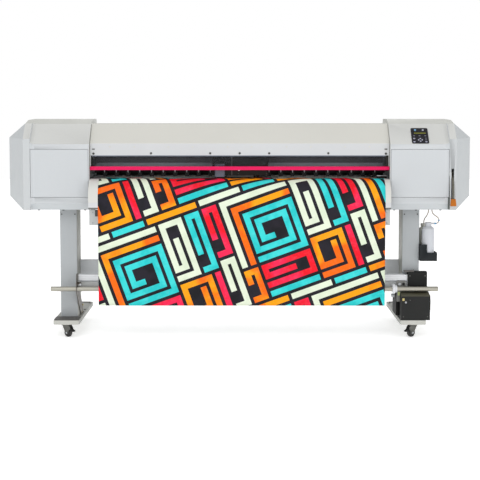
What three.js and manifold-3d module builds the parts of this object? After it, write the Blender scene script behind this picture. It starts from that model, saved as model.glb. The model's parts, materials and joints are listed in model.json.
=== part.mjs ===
// Wide-format roll-to-roll printer on a braked caster stand, with a take-up drive and a rear media roll.
// Millimetres, +Z up. The front faces -Y, X runs along the printer, and the wheels stand on z = 0.
import * as THREE from 'three';
import { ConvexGeometry } from 'three/addons/geometries/ConvexGeometry.js';
import { mergeVertices } from 'three/addons/utils/BufferGeometryUtils.js';
import Module from 'manifold-3d';

const wasm = await Module();
wasm.setup();

// ---------- Driving dimensions ----------
const LENGTH = 2700;            // over the two end covers
const DEPTH = 880;              // from the hanging print to the back of the media roll
const GAP = 0.3;                // clearance between pieces that touch or rest on each other
const SHEET = 4;                // wall of formed covers

const INNER_EDGE = 855;         // X of the end covers' inner edges
const DOOR_EDGE = 1190;         // X of the front doors' outer edges
const FACE_EDGE = 1229;         // X where the end covers' side bevels begin
const HALF_LENGTH = LENGTH / 2;

const BODY_BOTTOM = 733;        // underside of the end covers
const PLATEN_TOP = 909;
const MEDIA_THICKNESS = 0.6;    // print sheet, thickened so that it is a sound solid
const MEDIA_LEFT = -799;
const MEDIA_RIGHT = 822;
const MEDIA_BOTTOM = 195;       // lower edge of the hanging print

const POST_X = 990;             // centre line of the posts
const POST_WIDTH = 100;
const POST_FRONT = 168;         // depths are measured back from the hanging print
const POST_BACK = 318;
const FOOT_INNER = 919;
const FOOT_OUTER = 1067;
const FOOT_FRONT = 55;
const FOOT_BACK = 695;
const FOOT_BOTTOM = 75;
const FOOT_TOP = 100;

const WHEEL_RADIUS = 25;
const WHEEL_WIDTH = 20;
const CASTER_TRAIL = 18;        // wheel axle behind the swivel axis
const CASTER_X = 1000;
const CASTER_DEPTHS = { front: 97, rear: 655 };
const FRONT_CASTER_YAW = 35;    // how far the front casters are turned from pointing straight inward

const TENSION_BAR = { depth: 100, z: 275, radius: 14, left: -1085, right: 1140 };
const HUB = { depth: 200, z: 222, radius: 12 };
const ROLL = { depth: 800, z: 640, radius: 80, left: MEDIA_LEFT, right: MEDIA_RIGHT };
const GRIT_ROLLER = { depth: 312, radius: 11, journal: 6 };
const BELT = { depth: 306, width: 9, z: 1035, pulleyRadius: 14, halfSpan: 1100, thickness: 2 };
const CARRIAGE = { left: -157, right: 164, front: 142, back: 296, bottom: 926, top: 1096 };
const RAIL = { front: 316, back: 372, bottom: 1062, top: 1100 };
const LEVER = { x: 1209, depth: 100, z: 942 };
const PANEL = { x: 1027, width: 97, height: 118, thickness: 3, upSlope: 63 };

// ---------- Frame helpers ----------
const depthToY = (depth) => depth - DEPTH / 2;
const degrees = THREE.MathUtils.degToRad;

const printer = new THREE.Group();

function finish(color, roughness, metalness) {
  return new THREE.MeshStandardMaterial({ color, roughness, metalness });
}

const coverGrey = () => finish(0xd2d6d9, 0.55, 0.0);
const coverWarm = () => finish(0xdadad4, 0.55, 0.0);
const paintedGrey = () => finish(0xacb1b5, 0.5, 0.1);
const steel = () => finish(0xa0a3a5, 0.35, 0.9);
const aluminium = () => finish(0xd7d8da, 0.35, 0.8);
const blackPlastic = () => finish(0x343533, 0.55, 0.0);
const darkRubber = () => finish(0x222222, 0.8, 0.0);

function addPiece(name, geometry, material, parent = printer) {
  const mesh = new THREE.Mesh(geometry, material);
  mesh.name = name;
  parent.add(mesh);
  return mesh;
}

// ---------- Shape helpers ----------
function outline(points, holes = []) {
  const shape = new THREE.Shape(points.map(([a, b]) => new THREE.Vector2(a, b)));
  for (const hole of holes) {
    shape.holes.push(new THREE.Path(hole.map(([a, b]) => new THREE.Vector2(a, b))));
  }
  return shape;
}

function extrude(shape, length, curveSegments = 6) {
  return new THREE.ExtrudeGeometry(shape, { depth: length, bevelEnabled: false, curveSegments });
}

// A section drawn as (depth, z), swept from x0 to x1.
function alongX(section, x0, x1, holes = []) {
  const toY = (points) => points.map(([depth, z]) => [depthToY(depth), z]);
  const geometry = extrude(outline(toY(section), holes.map(toY)), x1 - x0);
  const axes = new THREE.Matrix4().makeBasis(
    new THREE.Vector3(0, 1, 0),
    new THREE.Vector3(0, 0, 1),
    new THREE.Vector3(1, 0, 0),
  );
  return geometry.applyMatrix4(axes).translate(x0, 0, 0);
}

// An outline drawn as (x, z), swept from depth d0 back to d1.
function alongDepth(points, d0, d1) {
  return extrude(outline(points), d1 - d0).rotateX(Math.PI / 2).translate(0, depthToY(d1), 0);
}

// An outline drawn as (x, y), swept from z0 up to z1.
function upward(points, z0, z1, holes = []) {
  return extrude(outline(points, holes), z1 - z0).translate(0, 0, z0);
}

function block(x0, x1, d0, d1, z0, z1) {
  return new THREE.BoxGeometry(x1 - x0, d1 - d0, z1 - z0)
    .translate((x0 + x1) / 2, depthToY((d0 + d1) / 2), (z0 + z1) / 2);
}

function roundedRectangle(x0, x1, y0, y1, radius, steps = 4) {
  const corners = [[x1 - radius, y0 + radius, -90], [x1 - radius, y1 - radius, 0],
    [x0 + radius, y1 - radius, 90], [x0 + radius, y0 + radius, 180]];
  const points = [];
  for (const [cx, cy, start] of corners) {
    for (let i = 0; i <= steps; i += 1) {
      const angle = degrees(start + 90 * i / steps);
      points.push([cx + radius * Math.cos(angle), cy + radius * Math.sin(angle)]);
    }
  }
  return points;
}

// A turned piece about the X axis: the profile lists (x, radius) from end to end.
function turnedAlongX(profile, depth, z, segments = 24) {
  const ends = [[profile[0][0], 0], ...profile, [profile[profile.length - 1][0], 0]];
  const points = ends.map(([x, radius]) => new THREE.Vector2(radius, x));
  return new THREE.LatheGeometry(points, segments).rotateZ(-Math.PI / 2).translate(0, depthToY(depth), z);
}

function rodAlongX(x0, x1, depth, z, radius, segments = 24) {
  return turnedAlongX([[x0, radius], [x1, radius]], depth, z, segments);
}

function rodUp(x, depth, z0, z1, radius, segments = 20) {
  const points = [[0, z0], [radius, z0], [radius, z1], [0, z1]].map(([r, z]) => new THREE.Vector2(r, z));
  return new THREE.LatheGeometry(points, segments).rotateX(Math.PI / 2).translate(x, depthToY(depth), 0);
}

function rodAlongDepth(x, z, d0, d1, radius, segments = 20) {
  return new THREE.CylinderGeometry(radius, radius, d1 - d0, segments)
    .translate(x, depthToY((d0 + d1) / 2), z);
}

function toSolid(geometry) {
  const bare = geometry.clone();
  bare.deleteAttribute('normal');
  bare.deleteAttribute('uv');
  const merged = mergeVertices(bare, 1e-4);
  return new wasm.Manifold(new wasm.Mesh({
    numProp: 3,
    vertProperties: new Float32Array(merged.attributes.position.array),
    triVerts: new Uint32Array(merged.index.array),
  }));
}

function toGeometry(solid) {
  const mesh = solid.getMesh();
  const geometry = new THREE.BufferGeometry();
  geometry.setAttribute('position', new THREE.BufferAttribute(new Float32Array(mesh.vertProperties), 3));
  geometry.setIndex(new THREE.BufferAttribute(new Uint32Array(mesh.triVerts), 1));
  geometry.computeVertexNormals();
  return geometry;
}

function join(...geometries) {
  return toGeometry(geometries.map(toSolid).reduce((whole, next) => whole.add(next)));
}

function cut(geometry, ...tools) {
  return toGeometry(tools.map(toSolid).reduce((left, tool) => left.subtract(tool), toSolid(geometry)));
}

// The same piece on the other side of the printer, its faces turned so that they still point out.
function mirrored(geometry) {
  const flat = geometry.index ? geometry.toNonIndexed() : geometry.clone();
  flat.scale(-1, 1, 1);
  const position = flat.attributes.position;
  for (let i = 0; i < position.count; i += 3) {
    for (let axis = 0; axis < 3; axis += 1) {
      const kept = position.getComponent(i + 1, axis);
      position.setComponent(i + 1, axis, position.getComponent(i + 2, axis));
      position.setComponent(i + 2, axis, kept);
    }
  }
  return flat;
}

// A convex outline with every edge moved inward by a distance; the outline runs clockwise in (depth, z).
function inset(points, distance) {
  const edges = points.map((point, i) => {
    const next = points[(i + 1) % points.length];
    const along = [next[0] - point[0], next[1] - point[1]];
    const size = Math.hypot(...along);
    const inward = [along[1] / size, -along[0] / size];
    return { from: [point[0] + inward[0] * distance, point[1] + inward[1] * distance], along };
  });
  return edges.map((edge, i) => {
    const before = edges[(i + edges.length - 1) % edges.length];
    const cross = before.along[0] * edge.along[1] - before.along[1] * edge.along[0];
    const offset = [edge.from[0] - before.from[0], edge.from[1] - before.from[1]];
    const share = (offset[0] * edge.along[1] - offset[1] * edge.along[0]) / cross;
    return [before.from[0] + before.along[0] * share, before.from[1] + before.along[1] * share];
  });
}

// ---------- Chassis and stand ----------
const CHASSIS_BOTTOM = BODY_BOTTOM + SHEET + GAP;
const CHASSIS_HALF = 1140;
const SHELF_TOP = 745;
const GRIT_Z = PLATEN_TOP - GRIT_ROLLER.radius - GAP;

function chassisGeometry() {
  const base = [[112, CHASSIS_BOTTOM], [640, CHASSIS_BOTTOM], [640, 868], [340, 868],
    [340, SHELF_TOP], [112, SHELF_TOP]];
  const beam = alongX(base, -CHASSIS_HALF, CHASSIS_HALF);
  const platenRib = block(-850, 850, 196, 204, SHELF_TOP - 1, PLATEN_TOP - 19 - GAP);
  const parts = [beam, platenRib];
  for (const side of [-1, 1]) {
    const end = side * CHASSIS_HALF;
    const bearingX = side * 872;
    const guideX = side * 841;
    const endPlate = block(end - 3, end + 3, 300, 640, CHASSIS_BOTTOM, 1104);
    const bearing = block(bearingX - 4, bearingX + 4, 298, 342, SHELF_TOP - 1, 921);
    const guideArm = block(guideX - 12, guideX + 12, 104, 130, 643, CHASSIS_BOTTOM + 1);
    const guideFoot = block(guideX - 12, guideX + 12, 104, 150, 643, 655);
    parts.push(endPlate, bearing, guideArm, guideFoot);
  }
  const bore = rodAlongX(-900, 900, GRIT_ROLLER.depth, GRIT_Z, GRIT_ROLLER.journal + 0.5, 16);
  return cut(join(...parts), bore);
}

function postGeometry() {
  const half = POST_WIDTH / 2;
  const wall = 4;
  const y0 = depthToY(POST_FRONT);
  const y1 = depthToY(POST_BACK);
  const outer = roundedRectangle(POST_X - half, POST_X + half, y0, y1, 6, 2);
  const inner = roundedRectangle(POST_X - half + wall, POST_X + half - wall, y0 + wall, y1 - wall, 3, 2);
  return upward(outer, FOOT_TOP + GAP, BODY_BOTTOM - GAP, [inner]);
}

function footGeometry() {
  const plan = roundedRectangle(FOOT_INNER, FOOT_OUTER, depthToY(FOOT_FRONT), depthToY(FOOT_BACK), 10, 3);
  const deck = upward(plan, FOOT_BOTTOM, FOOT_TOP);
  const plates = Object.values(CASTER_DEPTHS).map(
    (depth) => block(CASTER_X - 27, CASTER_X + 27, depth - 27, depth + 27, FOOT_BOTTOM - 4, FOOT_BOTTOM + 1),
  );
  return join(deck, ...plates);
}

function stretcherGeometry() {
  const outer = roundedRectangle(288, 316, 250, 419, 4, 2);
  const inner = roundedRectangle(291, 313, 253, 416, 2, 2);
  const half = POST_X - POST_WIDTH / 2 - GAP;
  return alongX(outer, -half, half, [inner]);
}

addPiece('chassis', chassisGeometry(), paintedGrey());
addPiece('left_post', mirrored(postGeometry()), paintedGrey());
addPiece('right_post', postGeometry(), paintedGrey());
addPiece('left_foot', mirrored(footGeometry()), finish(0x96978f, 0.6, 0.1));
addPiece('right_foot', footGeometry(), finish(0x96978f, 0.6, 0.1));
addPiece('lower_stretcher', stretcherGeometry(), paintedGrey());

// ---------- Casters ----------
const FORK_TOP = FOOT_BOTTOM - 4 - GAP;
const FORK_CHEEK = 3;

// Drawn with the swivel axis at the origin and the wheel trailing toward +X.
function forkGeometry() {
  const innerHalf = WHEEL_WIDTH / 2 + 1;
  const crown = new THREE.BoxGeometry(44, 2 * (innerHalf + FORK_CHEEK), 6).translate(4, 0, FORK_TOP - 3);
  const cheekOutline = [[-18, FORK_TOP - 1], [30, FORK_TOP - 1], [42, 56], [42, 45], [34, 42],
    [CASTER_TRAIL + 9, WHEEL_RADIUS - 6], [CASTER_TRAIL - 9, WHEEL_RADIUS - 6]];
  const cheek = (y) => extrude(outline(cheekOutline), FORK_CHEEK).rotateX(Math.PI / 2)
    .translate(0, y + FORK_CHEEK, 0);
  const axle = new THREE.CylinderGeometry(4, 4, 2 * (innerHalf + FORK_CHEEK) + 4, 16)
    .translate(CASTER_TRAIL, 0, WHEEL_RADIUS);
  return join(crown, cheek(innerHalf), cheek(-innerHalf - FORK_CHEEK), axle);
}

function wheelGeometry() {
  const half = WHEEL_WIDTH / 2;
  const profile = [[4.5, -half], [20, -half], [21.5, -half + 1], [WHEEL_RADIUS - 2, -half + 1],
    [WHEEL_RADIUS, -half + 4], [WHEEL_RADIUS, half - 4], [WHEEL_RADIUS - 2, half - 1], [21.5, half - 1],
    [20, half], [4.5, half], [4.5, -half]];
  return new THREE.LatheGeometry(profile.map(([r, y]) => new THREE.Vector2(r, y)), 28)
    .translate(CASTER_TRAIL, 0, WHEEL_RADIUS);
}

// The pedal turns between the cheeks about a pin along Y, clear of the wheel's tread.
const PEDAL_PIN = { x: 36, z: 50 };

function pedalGeometry() {
  const side = [[-4, -2], [3, -6], [27, -17], [29, -13], [8, 1], [2, 6], [-4, 5]];
  const half = WHEEL_WIDTH / 2 + 0.5;
  return extrude(outline(side), 2 * half).rotateX(Math.PI / 2)
    .translate(PEDAL_PIN.x, half, PEDAL_PIN.z);
}

function addCaster(sideName, endName, yaw) {
  const side = sideName === 'left' ? -1 : 1;
  const caster = new THREE.Group();
  caster.position.set(side * CASTER_X, depthToY(CASTER_DEPTHS[endName]), 0);
  caster.rotation.z = degrees(yaw);
  printer.add(caster);
  addPiece(`${sideName}_${endName}_fork`, forkGeometry(), steel(), caster);
  addPiece(`${sideName}_${endName}_wheel`, wheelGeometry(), darkRubber(), caster);
  if (endName === 'front') {
    addPiece(`${sideName}_brake_pedal`, pedalGeometry(), blackPlastic(), caster);
  }
}

addCaster('left', 'front', -FRONT_CASTER_YAW);
addCaster('right', 'front', 180 + FRONT_CASTER_YAW);
addCaster('left', 'rear', 90);
addCaster('right', 'rear', 90);

// ---------- End covers and front doors ----------
// Three convex shells make an end cover: the main box, the proud frame with its bevelled cheek,
// and the raised top.
const COVER_SECTION = [[68, 770], [68, 1108], [178, 1221], [640, 1208], [780, 1112], [780, 800],
  [740, BODY_BOTTOM], [90, BODY_BOTTOM]];
const CHEEK_SECTION = [[62, BODY_BOTTOM], [62, 1137], [148, 1224], [640, 1211], [780, 1112], [780, 800],
  [740, BODY_BOTTOM]];
const CHEEK_TIP = [[294, 798], [294, 1140], [660, 1140], [660, 798]];
const RIDGE = {
  [INNER_EDGE]: [[180, 1215], [180, 1221], [250, 1249], [430, 1247], [448, 1214], [448, 1200]],
  1190: [[250, 1249], [430, 1247]],
  1226: [[236, 1243], [430, 1241]],
  1241: [[182, 1215], [448, 1205]],
};
// The opening in the inner side wall, through which the chassis, the rail and the carriage run.
const PASSAGE = [[100, 730], [100, 1096], [190, 1188], [636, 1176], [748, 1100], [748, 810], [736, 730]];
const DOOR = { inner: INNER_EDGE + 6, outer: DOOR_EDGE - 1.5, bottom: 806, top: 1078, thickness: 12 };
const DOOR_CLEARANCE = 1.5;

function hullThrough(rings) {
  const points = [];
  for (const [x, ring] of rings) {
    for (const [depth, z] of ring) {
      points.push(new THREE.Vector3(x, depthToY(depth), z));
    }
  }
  return new ConvexGeometry(points);
}

function endCoverGeometry() {
  const box = hullThrough([[INNER_EDGE, COVER_SECTION], [DOOR_EDGE + 1, COVER_SECTION]]);
  const cheek = hullThrough([
    [DOOR_EDGE, CHEEK_SECTION],
    [FACE_EDGE, CHEEK_SECTION],
    [HALF_LENGTH, CHEEK_TIP],
  ]);
  const ridge = hullThrough(Object.entries(RIDGE).map(([x, ring]) => [Number(x), ring]));
  const boxInside = inset(COVER_SECTION, SHEET);
  const cheekInside = inset(CHEEK_SECTION, SHEET);
  const hollow = hullThrough([[INNER_EDGE + SHEET, boxInside], [DOOR_EDGE + 1, boxInside]]);
  const passage = alongX(PASSAGE, INNER_EDGE - 1, INNER_EDGE + SHEET + 1);
  const cheekHollow = hullThrough([
    [DOOR_EDGE, inset(COVER_SECTION, SHEET + 2)],
    [DOOR_EDGE + SHEET, cheekInside],
    [FACE_EDGE - 2, cheekInside],
    [HALF_LENGTH - SHEET, inset(CHEEK_TIP, SHEET)],
  ]);
  const doorway = block(DOOR.inner - DOOR_CLEARANCE, DOOR.outer + DOOR_CLEARANCE, 66, 90,
    DOOR.bottom - DOOR_CLEARANCE, DOOR.top + DOOR_CLEARANCE);
  return cut(join(box, cheek, ridge), hollow, passage, cheekHollow, doorway);
}

function leverSlot() {
  return block(LEVER.x - 7.5, LEVER.x + 7.5, 56, 90, 792, LEVER.z + 27);
}

const HOSE_GLANDS = { front: { x: 1113, depth: 176 }, rear: { x: 1096, depth: 196 }, z: 725 };

function glands() {
  return ['front', 'rear'].map((which) => {
    const { x, depth } = HOSE_GLANDS[which];
    return rodUp(x, depth, HOSE_GLANDS.z, BODY_BOTTOM + 1, 6, 12);
  });
}

// The two hinge leaves are hidden, so the door is one plate with a folded pull edge behind its inner side.
function doorGeometry() {
  const plate = block(DOOR.inner, DOOR.outer, 68, 72, DOOR.bottom, DOOR.top);
  const rim = block(DOOR.inner + 8, DOOR.outer - 8, 71, 68 + DOOR.thickness, DOOR.bottom + 8, DOOR.top - 8);
  const recess = block(DOOR.inner + 12, DOOR.outer - 12, 72, 90, DOOR.bottom + 12, DOOR.top - 12);
  return cut(join(plate, rim), recess);
}

addPiece('left_end_cover', mirrored(endCoverGeometry()), coverGrey());
addPiece('right_end_cover', join(cut(endCoverGeometry(), leverSlot()), ...glands()), coverGrey());
addPiece('left_front_door', mirrored(doorGeometry()), coverGrey());
addPiece('right_front_door', doorGeometry(), coverGrey());

// ---------- Centre covers ----------
const CENTRE_HALF = INNER_EDGE - 2;
const FRONT_COVER = { front: 98, bandBottom: 1043, bandTop: 1112, barBottom: 959, barTop: 980 };

function frontCoverGeometry() {
  const { front, bandBottom, bandTop } = FRONT_COVER;
  const panel = [[front, bandBottom], [front, bandTop], [198, 1223], [206, 1221], [203, 1217],
    [198, 1217], [front + SHEET, bandTop - 2], [front + SHEET, bandBottom]];
  const cheek = [[front, FRONT_COVER.barTop + GAP], [front, bandTop], [198, 1223], [203, 1217], [140, 1115],
    [114, 1100], [114, FRONT_COVER.barTop + GAP]];
  const cheeks = [-1, 1].map((side) => {
    const edge = side * CENTRE_HALF;
    return alongX(cheek, Math.min(edge, edge - side * 4), Math.max(edge, edge - side * 4));
  });
  return join(alongX(panel, -CENTRE_HALF, CENTRE_HALF), ...cheeks);
}

function frontWindowGeometry() {
  const half = CENTRE_HALF - 4 - GAP;
  const { front } = FRONT_COVER;
  const section = [[front + SHEET + GAP, FRONT_COVER.barTop + GAP], [front + SHEET + GAP, 1060],
    [front + SHEET + GAP + 3, 1060], [front + SHEET + GAP + 3, FRONT_COVER.barTop + GAP]];
  return alongX(section, -half, half);
}

function frontBarGeometry() {
  const { front, barBottom, barTop } = FRONT_COVER;
  const section = roundedRectangle(front - 8, front + 14, barBottom, barTop, 4, 3);
  return alongX(section, -CENTRE_HALF, CENTRE_HALF);
}

// One formed sheet over the top and the back, open in front and below.
function topCoverGeometry() {
  const section = [[214, 1221], [214, 1208], [218, 1208], [218, 1217], [638, 1204], [776, 1098],
    [776, 940], [720, 930], [720, 926], [780, 936], [780, 1100], [640, 1208]];
  return alongX(section, -CENTRE_HALF, CENTRE_HALF);
}

const APRON_HALF = INNER_EDGE - 1;
const SHEET_LIFT = 0.3;                        // clearance between the print and what it runs over
const APRON_TOP = 93;                          // depth where the apron's curve meets the platen
const APRON_FRONT = SHEET_LIFT + MEDIA_THICKNESS;

// The print leaves the platen over a quarter curve and hangs from the apron's vertical face.
function apronCurve(offset) {
  const points = [];
  const centre = [APRON_TOP, 805];
  const reach = [APRON_TOP - APRON_FRONT, PLATEN_TOP - 805];
  for (let i = 0; i <= 10; i += 1) {
    const angle = degrees(90 * i / 10);
    points.push([
      centre[0] - (reach[0] + offset) * Math.sin(angle),
      centre[1] + (reach[1] + offset) * Math.cos(angle),
    ]);
  }
  return points;
}

function apronGeometry() {
  const front = apronCurve(0);
  const section = [...front, [APRON_FRONT, 752], [10, 742], [94, 742], [94, 746], [12, 746],
    [APRON_FRONT + SHEET, 754], ...apronCurve(-SHEET).reverse(), [94, 901], [94, PLATEN_TOP]];
  return alongX(section, -APRON_HALF, APRON_HALF);
}

function platenGeometry() {
  const front = APRON_TOP + 1 + GAP;
  const section = [[front, 890], [298, 890], [298, PLATEN_TOP - 4], [294, PLATEN_TOP], [front, PLATEN_TOP]];
  return alongX(section, -APRON_HALF, APRON_HALF);
}

const GUIDE_BEND = { depth: 560, z: 809, radius: 100 };

// The rear guide runs flat behind the grit roller, then bends down toward the media roll.
function rearGuideCurve(offset) {
  const points = [];
  for (let i = 0; i <= 8; i += 1) {
    const angle = degrees(50 * i / 8);
    points.push([GUIDE_BEND.depth + (GUIDE_BEND.radius + offset) * Math.sin(angle),
      GUIDE_BEND.z + (GUIDE_BEND.radius + offset) * Math.cos(angle)]);
  }
  return points;
}

function rearGuideGeometry() {
  const section = [[346, PLATEN_TOP], ...rearGuideCurve(0), ...rearGuideCurve(-3).reverse(),
    [346, PLATEN_TOP - 3]];
  const legs = [-700, 0, 700].map((x) => block(x - 15, x + 15, 400, 500, 868 + GAP, PLATEN_TOP - 2));
  return join(alongX(section, -APRON_HALF, APRON_HALF), ...legs);
}

addPiece('front_cover', frontCoverGeometry(), coverWarm());
addPiece('front_window', frontWindowGeometry(), finish(0x3e3c40, 0.15, 0.0));
addPiece('front_cover_bar', frontBarGeometry(), finish(0xf32962, 0.35, 0.0));
addPiece('top_cover', topCoverGeometry(), coverWarm());
addPiece('apron', apronGeometry(), coverGrey());
addPiece('platen', platenGeometry(), aluminium());
addPiece('rear_guide', rearGuideGeometry(), aluminium());

// ---------- Print sheet and media roll ----------
// The sheet's path from the roll over the rear guide, the grit roller, the platen and the apron, then down.
function mediaPath(lift) {
  const bendAngle = degrees(50);
  const bend = GUIDE_BEND.radius + lift;
  const guideEnd = [GUIDE_BEND.depth + bend * Math.sin(bendAngle),
    GUIDE_BEND.z + bend * Math.cos(bendAngle)];
  const offset = [guideEnd[0] - ROLL.depth, guideEnd[1] - ROLL.z];
  const distance = Math.hypot(...offset);
  const bearing = Math.atan2(offset[1], offset[0]);
  const touch = bearing - Math.acos((ROLL.radius + lift) / distance);
  const rollPoint = [ROLL.depth + (ROLL.radius + lift) * Math.cos(touch),
    ROLL.z + (ROLL.radius + lift) * Math.sin(touch)];
  return [rollPoint, ...rearGuideCurve(lift).reverse(), ...apronCurve(lift),
    [APRON_FRONT - lift, MEDIA_BOTTOM]];
}

function mediaGeometry() {
  const section = [...mediaPath(SHEET_LIFT), ...mediaPath(SHEET_LIFT + MEDIA_THICKNESS).reverse()];
  return alongX(section, MEDIA_LEFT, MEDIA_RIGHT);
}

function mediaRollGeometry() {
  const profile = [[-870, 10], [MEDIA_LEFT - 14, 10], [MEDIA_LEFT - 14, 60], [MEDIA_LEFT, 60],
    [MEDIA_LEFT, ROLL.radius], [MEDIA_RIGHT, ROLL.radius], [MEDIA_RIGHT, 60], [MEDIA_RIGHT + 8, 60],
    [MEDIA_RIGHT + 8, 10], [870, 10]];
  return turnedAlongX(profile, ROLL.depth, ROLL.z, 40);
}

const CRADLE_X = 846;

// Two cheeks hold the roll's spindle in open-topped notches, and a channel ties them under the chassis.
function rollCradleGeometry() {
  const cheekOutline = [[600, CHASSIS_BOTTOM - GAP], [690, CHASSIS_BOTTOM - GAP], [850, 668], [850, 610],
    [780, 610], [600, 690]];
  const cheek = (x) => alongX(cheekOutline, x - 3, x + 3);
  const tie = block(-CRADLE_X, CRADLE_X, 604, 640, 700, CHASSIS_BOTTOM - GAP);
  const spindle = rodAlongX(-900, 900, ROLL.depth, ROLL.z, 11, 20);
  const notch = block(-900, 900, ROLL.depth - 11, ROLL.depth + 11, ROLL.z, 720);
  return cut(join(cheek(-CRADLE_X), cheek(CRADLE_X), tie), spindle, notch);
}

addPiece('printed_media', mediaGeometry(), finish(0xe8f2dc, 0.6, 0.0));
addPiece('media_roll', mediaRollGeometry(), finish(0xf2f2ee, 0.7, 0.0));
addPiece('roll_cradle', rollCradleGeometry(), paintedGrey());

// ---------- Feed and print mechanism ----------
function gritRollerGeometry() {
  const { radius, journal, depth } = GRIT_ROLLER;
  const profile = [[-880, journal], [-862, journal], [-862, radius], [862, radius], [862, journal],
    [880, journal]];
  return turnedAlongX(profile, depth, GRIT_Z, 20);
}

// A bar of sprung arms, each ending in a small roller over the grit roller.
function pinchRollerGeometry() {
  const bar = block(-858, 858, 346, 368, 930, 960);
  const parts = [bar];
  const count = 24;
  const spacing = 69;
  for (let i = 0; i < count; i += 1) {
    const x = (i - (count - 1) / 2) * spacing;
    const arm = block(x - 12, x + 12, 308, 350, 926, 934);
    const roller = rodAlongX(x - 11, x + 11, 316, PLATEN_TOP + 10.2, 9, 10);
    parts.push(arm, roller);
  }
  return join(...parts);
}

function carriageGeometry() {
  const { left, right, front, back, bottom, top } = CARRIAGE;
  const section = [[front, bottom], [front, top - 30], [front + 30, top], [back, top], [back, bottom]];
  const body = alongX(section, left, right);
  const shoe = block(left + 40, right - 40, back - 1, 380, RAIL.top + 1, RAIL.top + 22);
  const bridge = block(left + 40, right - 40, back - 40, back, top - 2, RAIL.top + 22);
  const clamp = block(-14, 14, back - 1, BELT.depth - 5.5, BELT.z - 20, BELT.z - 8);
  return join(body, shoe, bridge, clamp);
}

function carriageCapGeometry() {
  const plan = roundedRectangle(-143, -84, depthToY(117), depthToY(CARRIAGE.front) + 20, 8, 4);
  const cap = upward(plan, 918, 992);
  return cut(cap, block(-150, -80, CARRIAGE.front - GAP, 180, 900, 1050));
}

function printHeadGeometry() {
  return block(-70, 80, 180, 270, PLATEN_TOP + 4, CARRIAGE.bottom - GAP);
}

function railGeometry() {
  const { front, back, bottom, top } = RAIL;
  const section = [[front, bottom], [front, top - 6], [front + 4, top], [back, top], [back, bottom],
    [back - 8, bottom], [back - 8, bottom + 14], [front + 10, bottom + 14], [front + 10, bottom]];
  return alongX(section, -CHASSIS_HALF + 3 + GAP, CHASSIS_HALF - 3 - GAP);
}

function beltOutline(radius) {
  const points = [];
  for (const [x, start] of [[BELT.halfSpan, -90], [-BELT.halfSpan, 90]]) {
    for (let i = 0; i <= 10; i += 1) {
      const angle = degrees(start + 18 * i);
      points.push([x + radius * Math.cos(angle), BELT.z + radius * Math.sin(angle)]);
    }
  }
  return points;
}

function beltGeometry() {
  const inner = BELT.pulleyRadius + GAP;
  const shape = outline(beltOutline(inner + BELT.thickness), [beltOutline(inner)]);
  const back = depthToY(BELT.depth) + BELT.width / 2;
  return extrude(shape, BELT.width).rotateX(Math.PI / 2).translate(0, back, 0);
}

function pulleyGeometry(x) {
  const half = BELT.width / 2 + 1;
  const drum = rodAlongDepth(x, BELT.z, BELT.depth - half, BELT.depth + half, BELT.pulleyRadius, 24);
  const shaft = rodAlongDepth(x, BELT.z, BELT.depth - half - 1, BELT.depth + half + 2, 4, 12);
  return join(drum, shaft);
}

function beltMotorGeometry() {
  const can = rodAlongDepth(-BELT.halfSpan, BELT.z - 4, 318, 400, 20, 24);
  const flange = block(-BELT.halfSpan - 26, -BELT.halfSpan + 26, 314, 319, BELT.z - 34, BELT.z + 20);
  return join(can, flange);
}

function cappingStationGeometry() {
  const tray = block(946, 1100, 150, 290, SHELF_TOP + GAP, 870);
  const cap = block(985, 1060, 170, 280, 869, 896);
  const well = block(991, 1054, 176, 274, 890, 900);
  const wiper = block(956, 960, 180, 270, 869, 899);
  return cut(join(tray, cap, wiper), well);
}

addPiece('grit_roller', gritRollerGeometry(), steel());
addPiece('pinch_roller_bar', pinchRollerGeometry(), finish(0x3a3b3d, 0.6, 0.2));
addPiece('carriage', carriageGeometry(), blackPlastic());
addPiece('carriage_cap', carriageCapGeometry(), finish(0x626a78, 0.4, 0.0));
addPiece('print_head', printHeadGeometry(), steel());
addPiece('carriage_rail', railGeometry(), finish(0x5a5f69, 0.4, 0.6));
addPiece('drive_belt', beltGeometry(), darkRubber());
addPiece('drive_pulley', pulleyGeometry(-BELT.halfSpan), steel());
addPiece('idler_pulley', pulleyGeometry(BELT.halfSpan), steel());
addPiece('belt_motor', beltMotorGeometry(), blackPlastic());
addPiece('capping_station', cappingStationGeometry(), finish(0x4a4c50, 0.6, 0.0));

// ---------- Load lever ----------
// The lever hangs from its pivot behind the face, comes out through the slot and ends in a grip.
function leverGeometry() {
  const arm = [[92, 952], [108, 952], [112, 942], [108, 932], [96, 927], [64, 902], [46, 868], [38, 830],
    [36, 799], [28, 799], [30, 832], [38, 872], [57, 908], [86, 935]];
  const blade = alongX(arm, LEVER.x - 5.5, LEVER.x + 5.5);
  const boss = rodAlongX(LEVER.x - 16, LEVER.x + 16, LEVER.depth, LEVER.z, 9, 16);
  return join(blade, boss);
}

function leverGripGeometry() {
  const bottom = 758;
  const top = 799 - GAP;
  const face = [[LEVER.x - 17, bottom], [LEVER.x + 17, bottom], [LEVER.x + 12, top], [LEVER.x - 12, top]];
  return alongDepth(face, 22, 42);
}

addPiece('load_lever', leverGeometry(), finish(0x6e6964, 0.5, 0.2));
addPiece('lever_grip', leverGripGeometry(), finish(0xc87323, 0.45, 0.0));

// ---------- Control panel ----------
// The panel lies on the right cover's sloping face; its group's local XY plane is that face.
const slopeStart = COVER_SECTION[1];
const slopeEnd = COVER_SECTION[2];
const slopeAngle = Math.atan2(slopeEnd[1] - slopeStart[1], slopeEnd[0] - slopeStart[0]);
const panelGroup = new THREE.Group();
panelGroup.position.set(
  PANEL.x,
  depthToY(slopeStart[0] + PANEL.upSlope * Math.cos(slopeAngle)),
  slopeStart[1] + PANEL.upSlope * Math.sin(slopeAngle),
);
panelGroup.rotation.x = slopeAngle;
printer.add(panelGroup);

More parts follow.
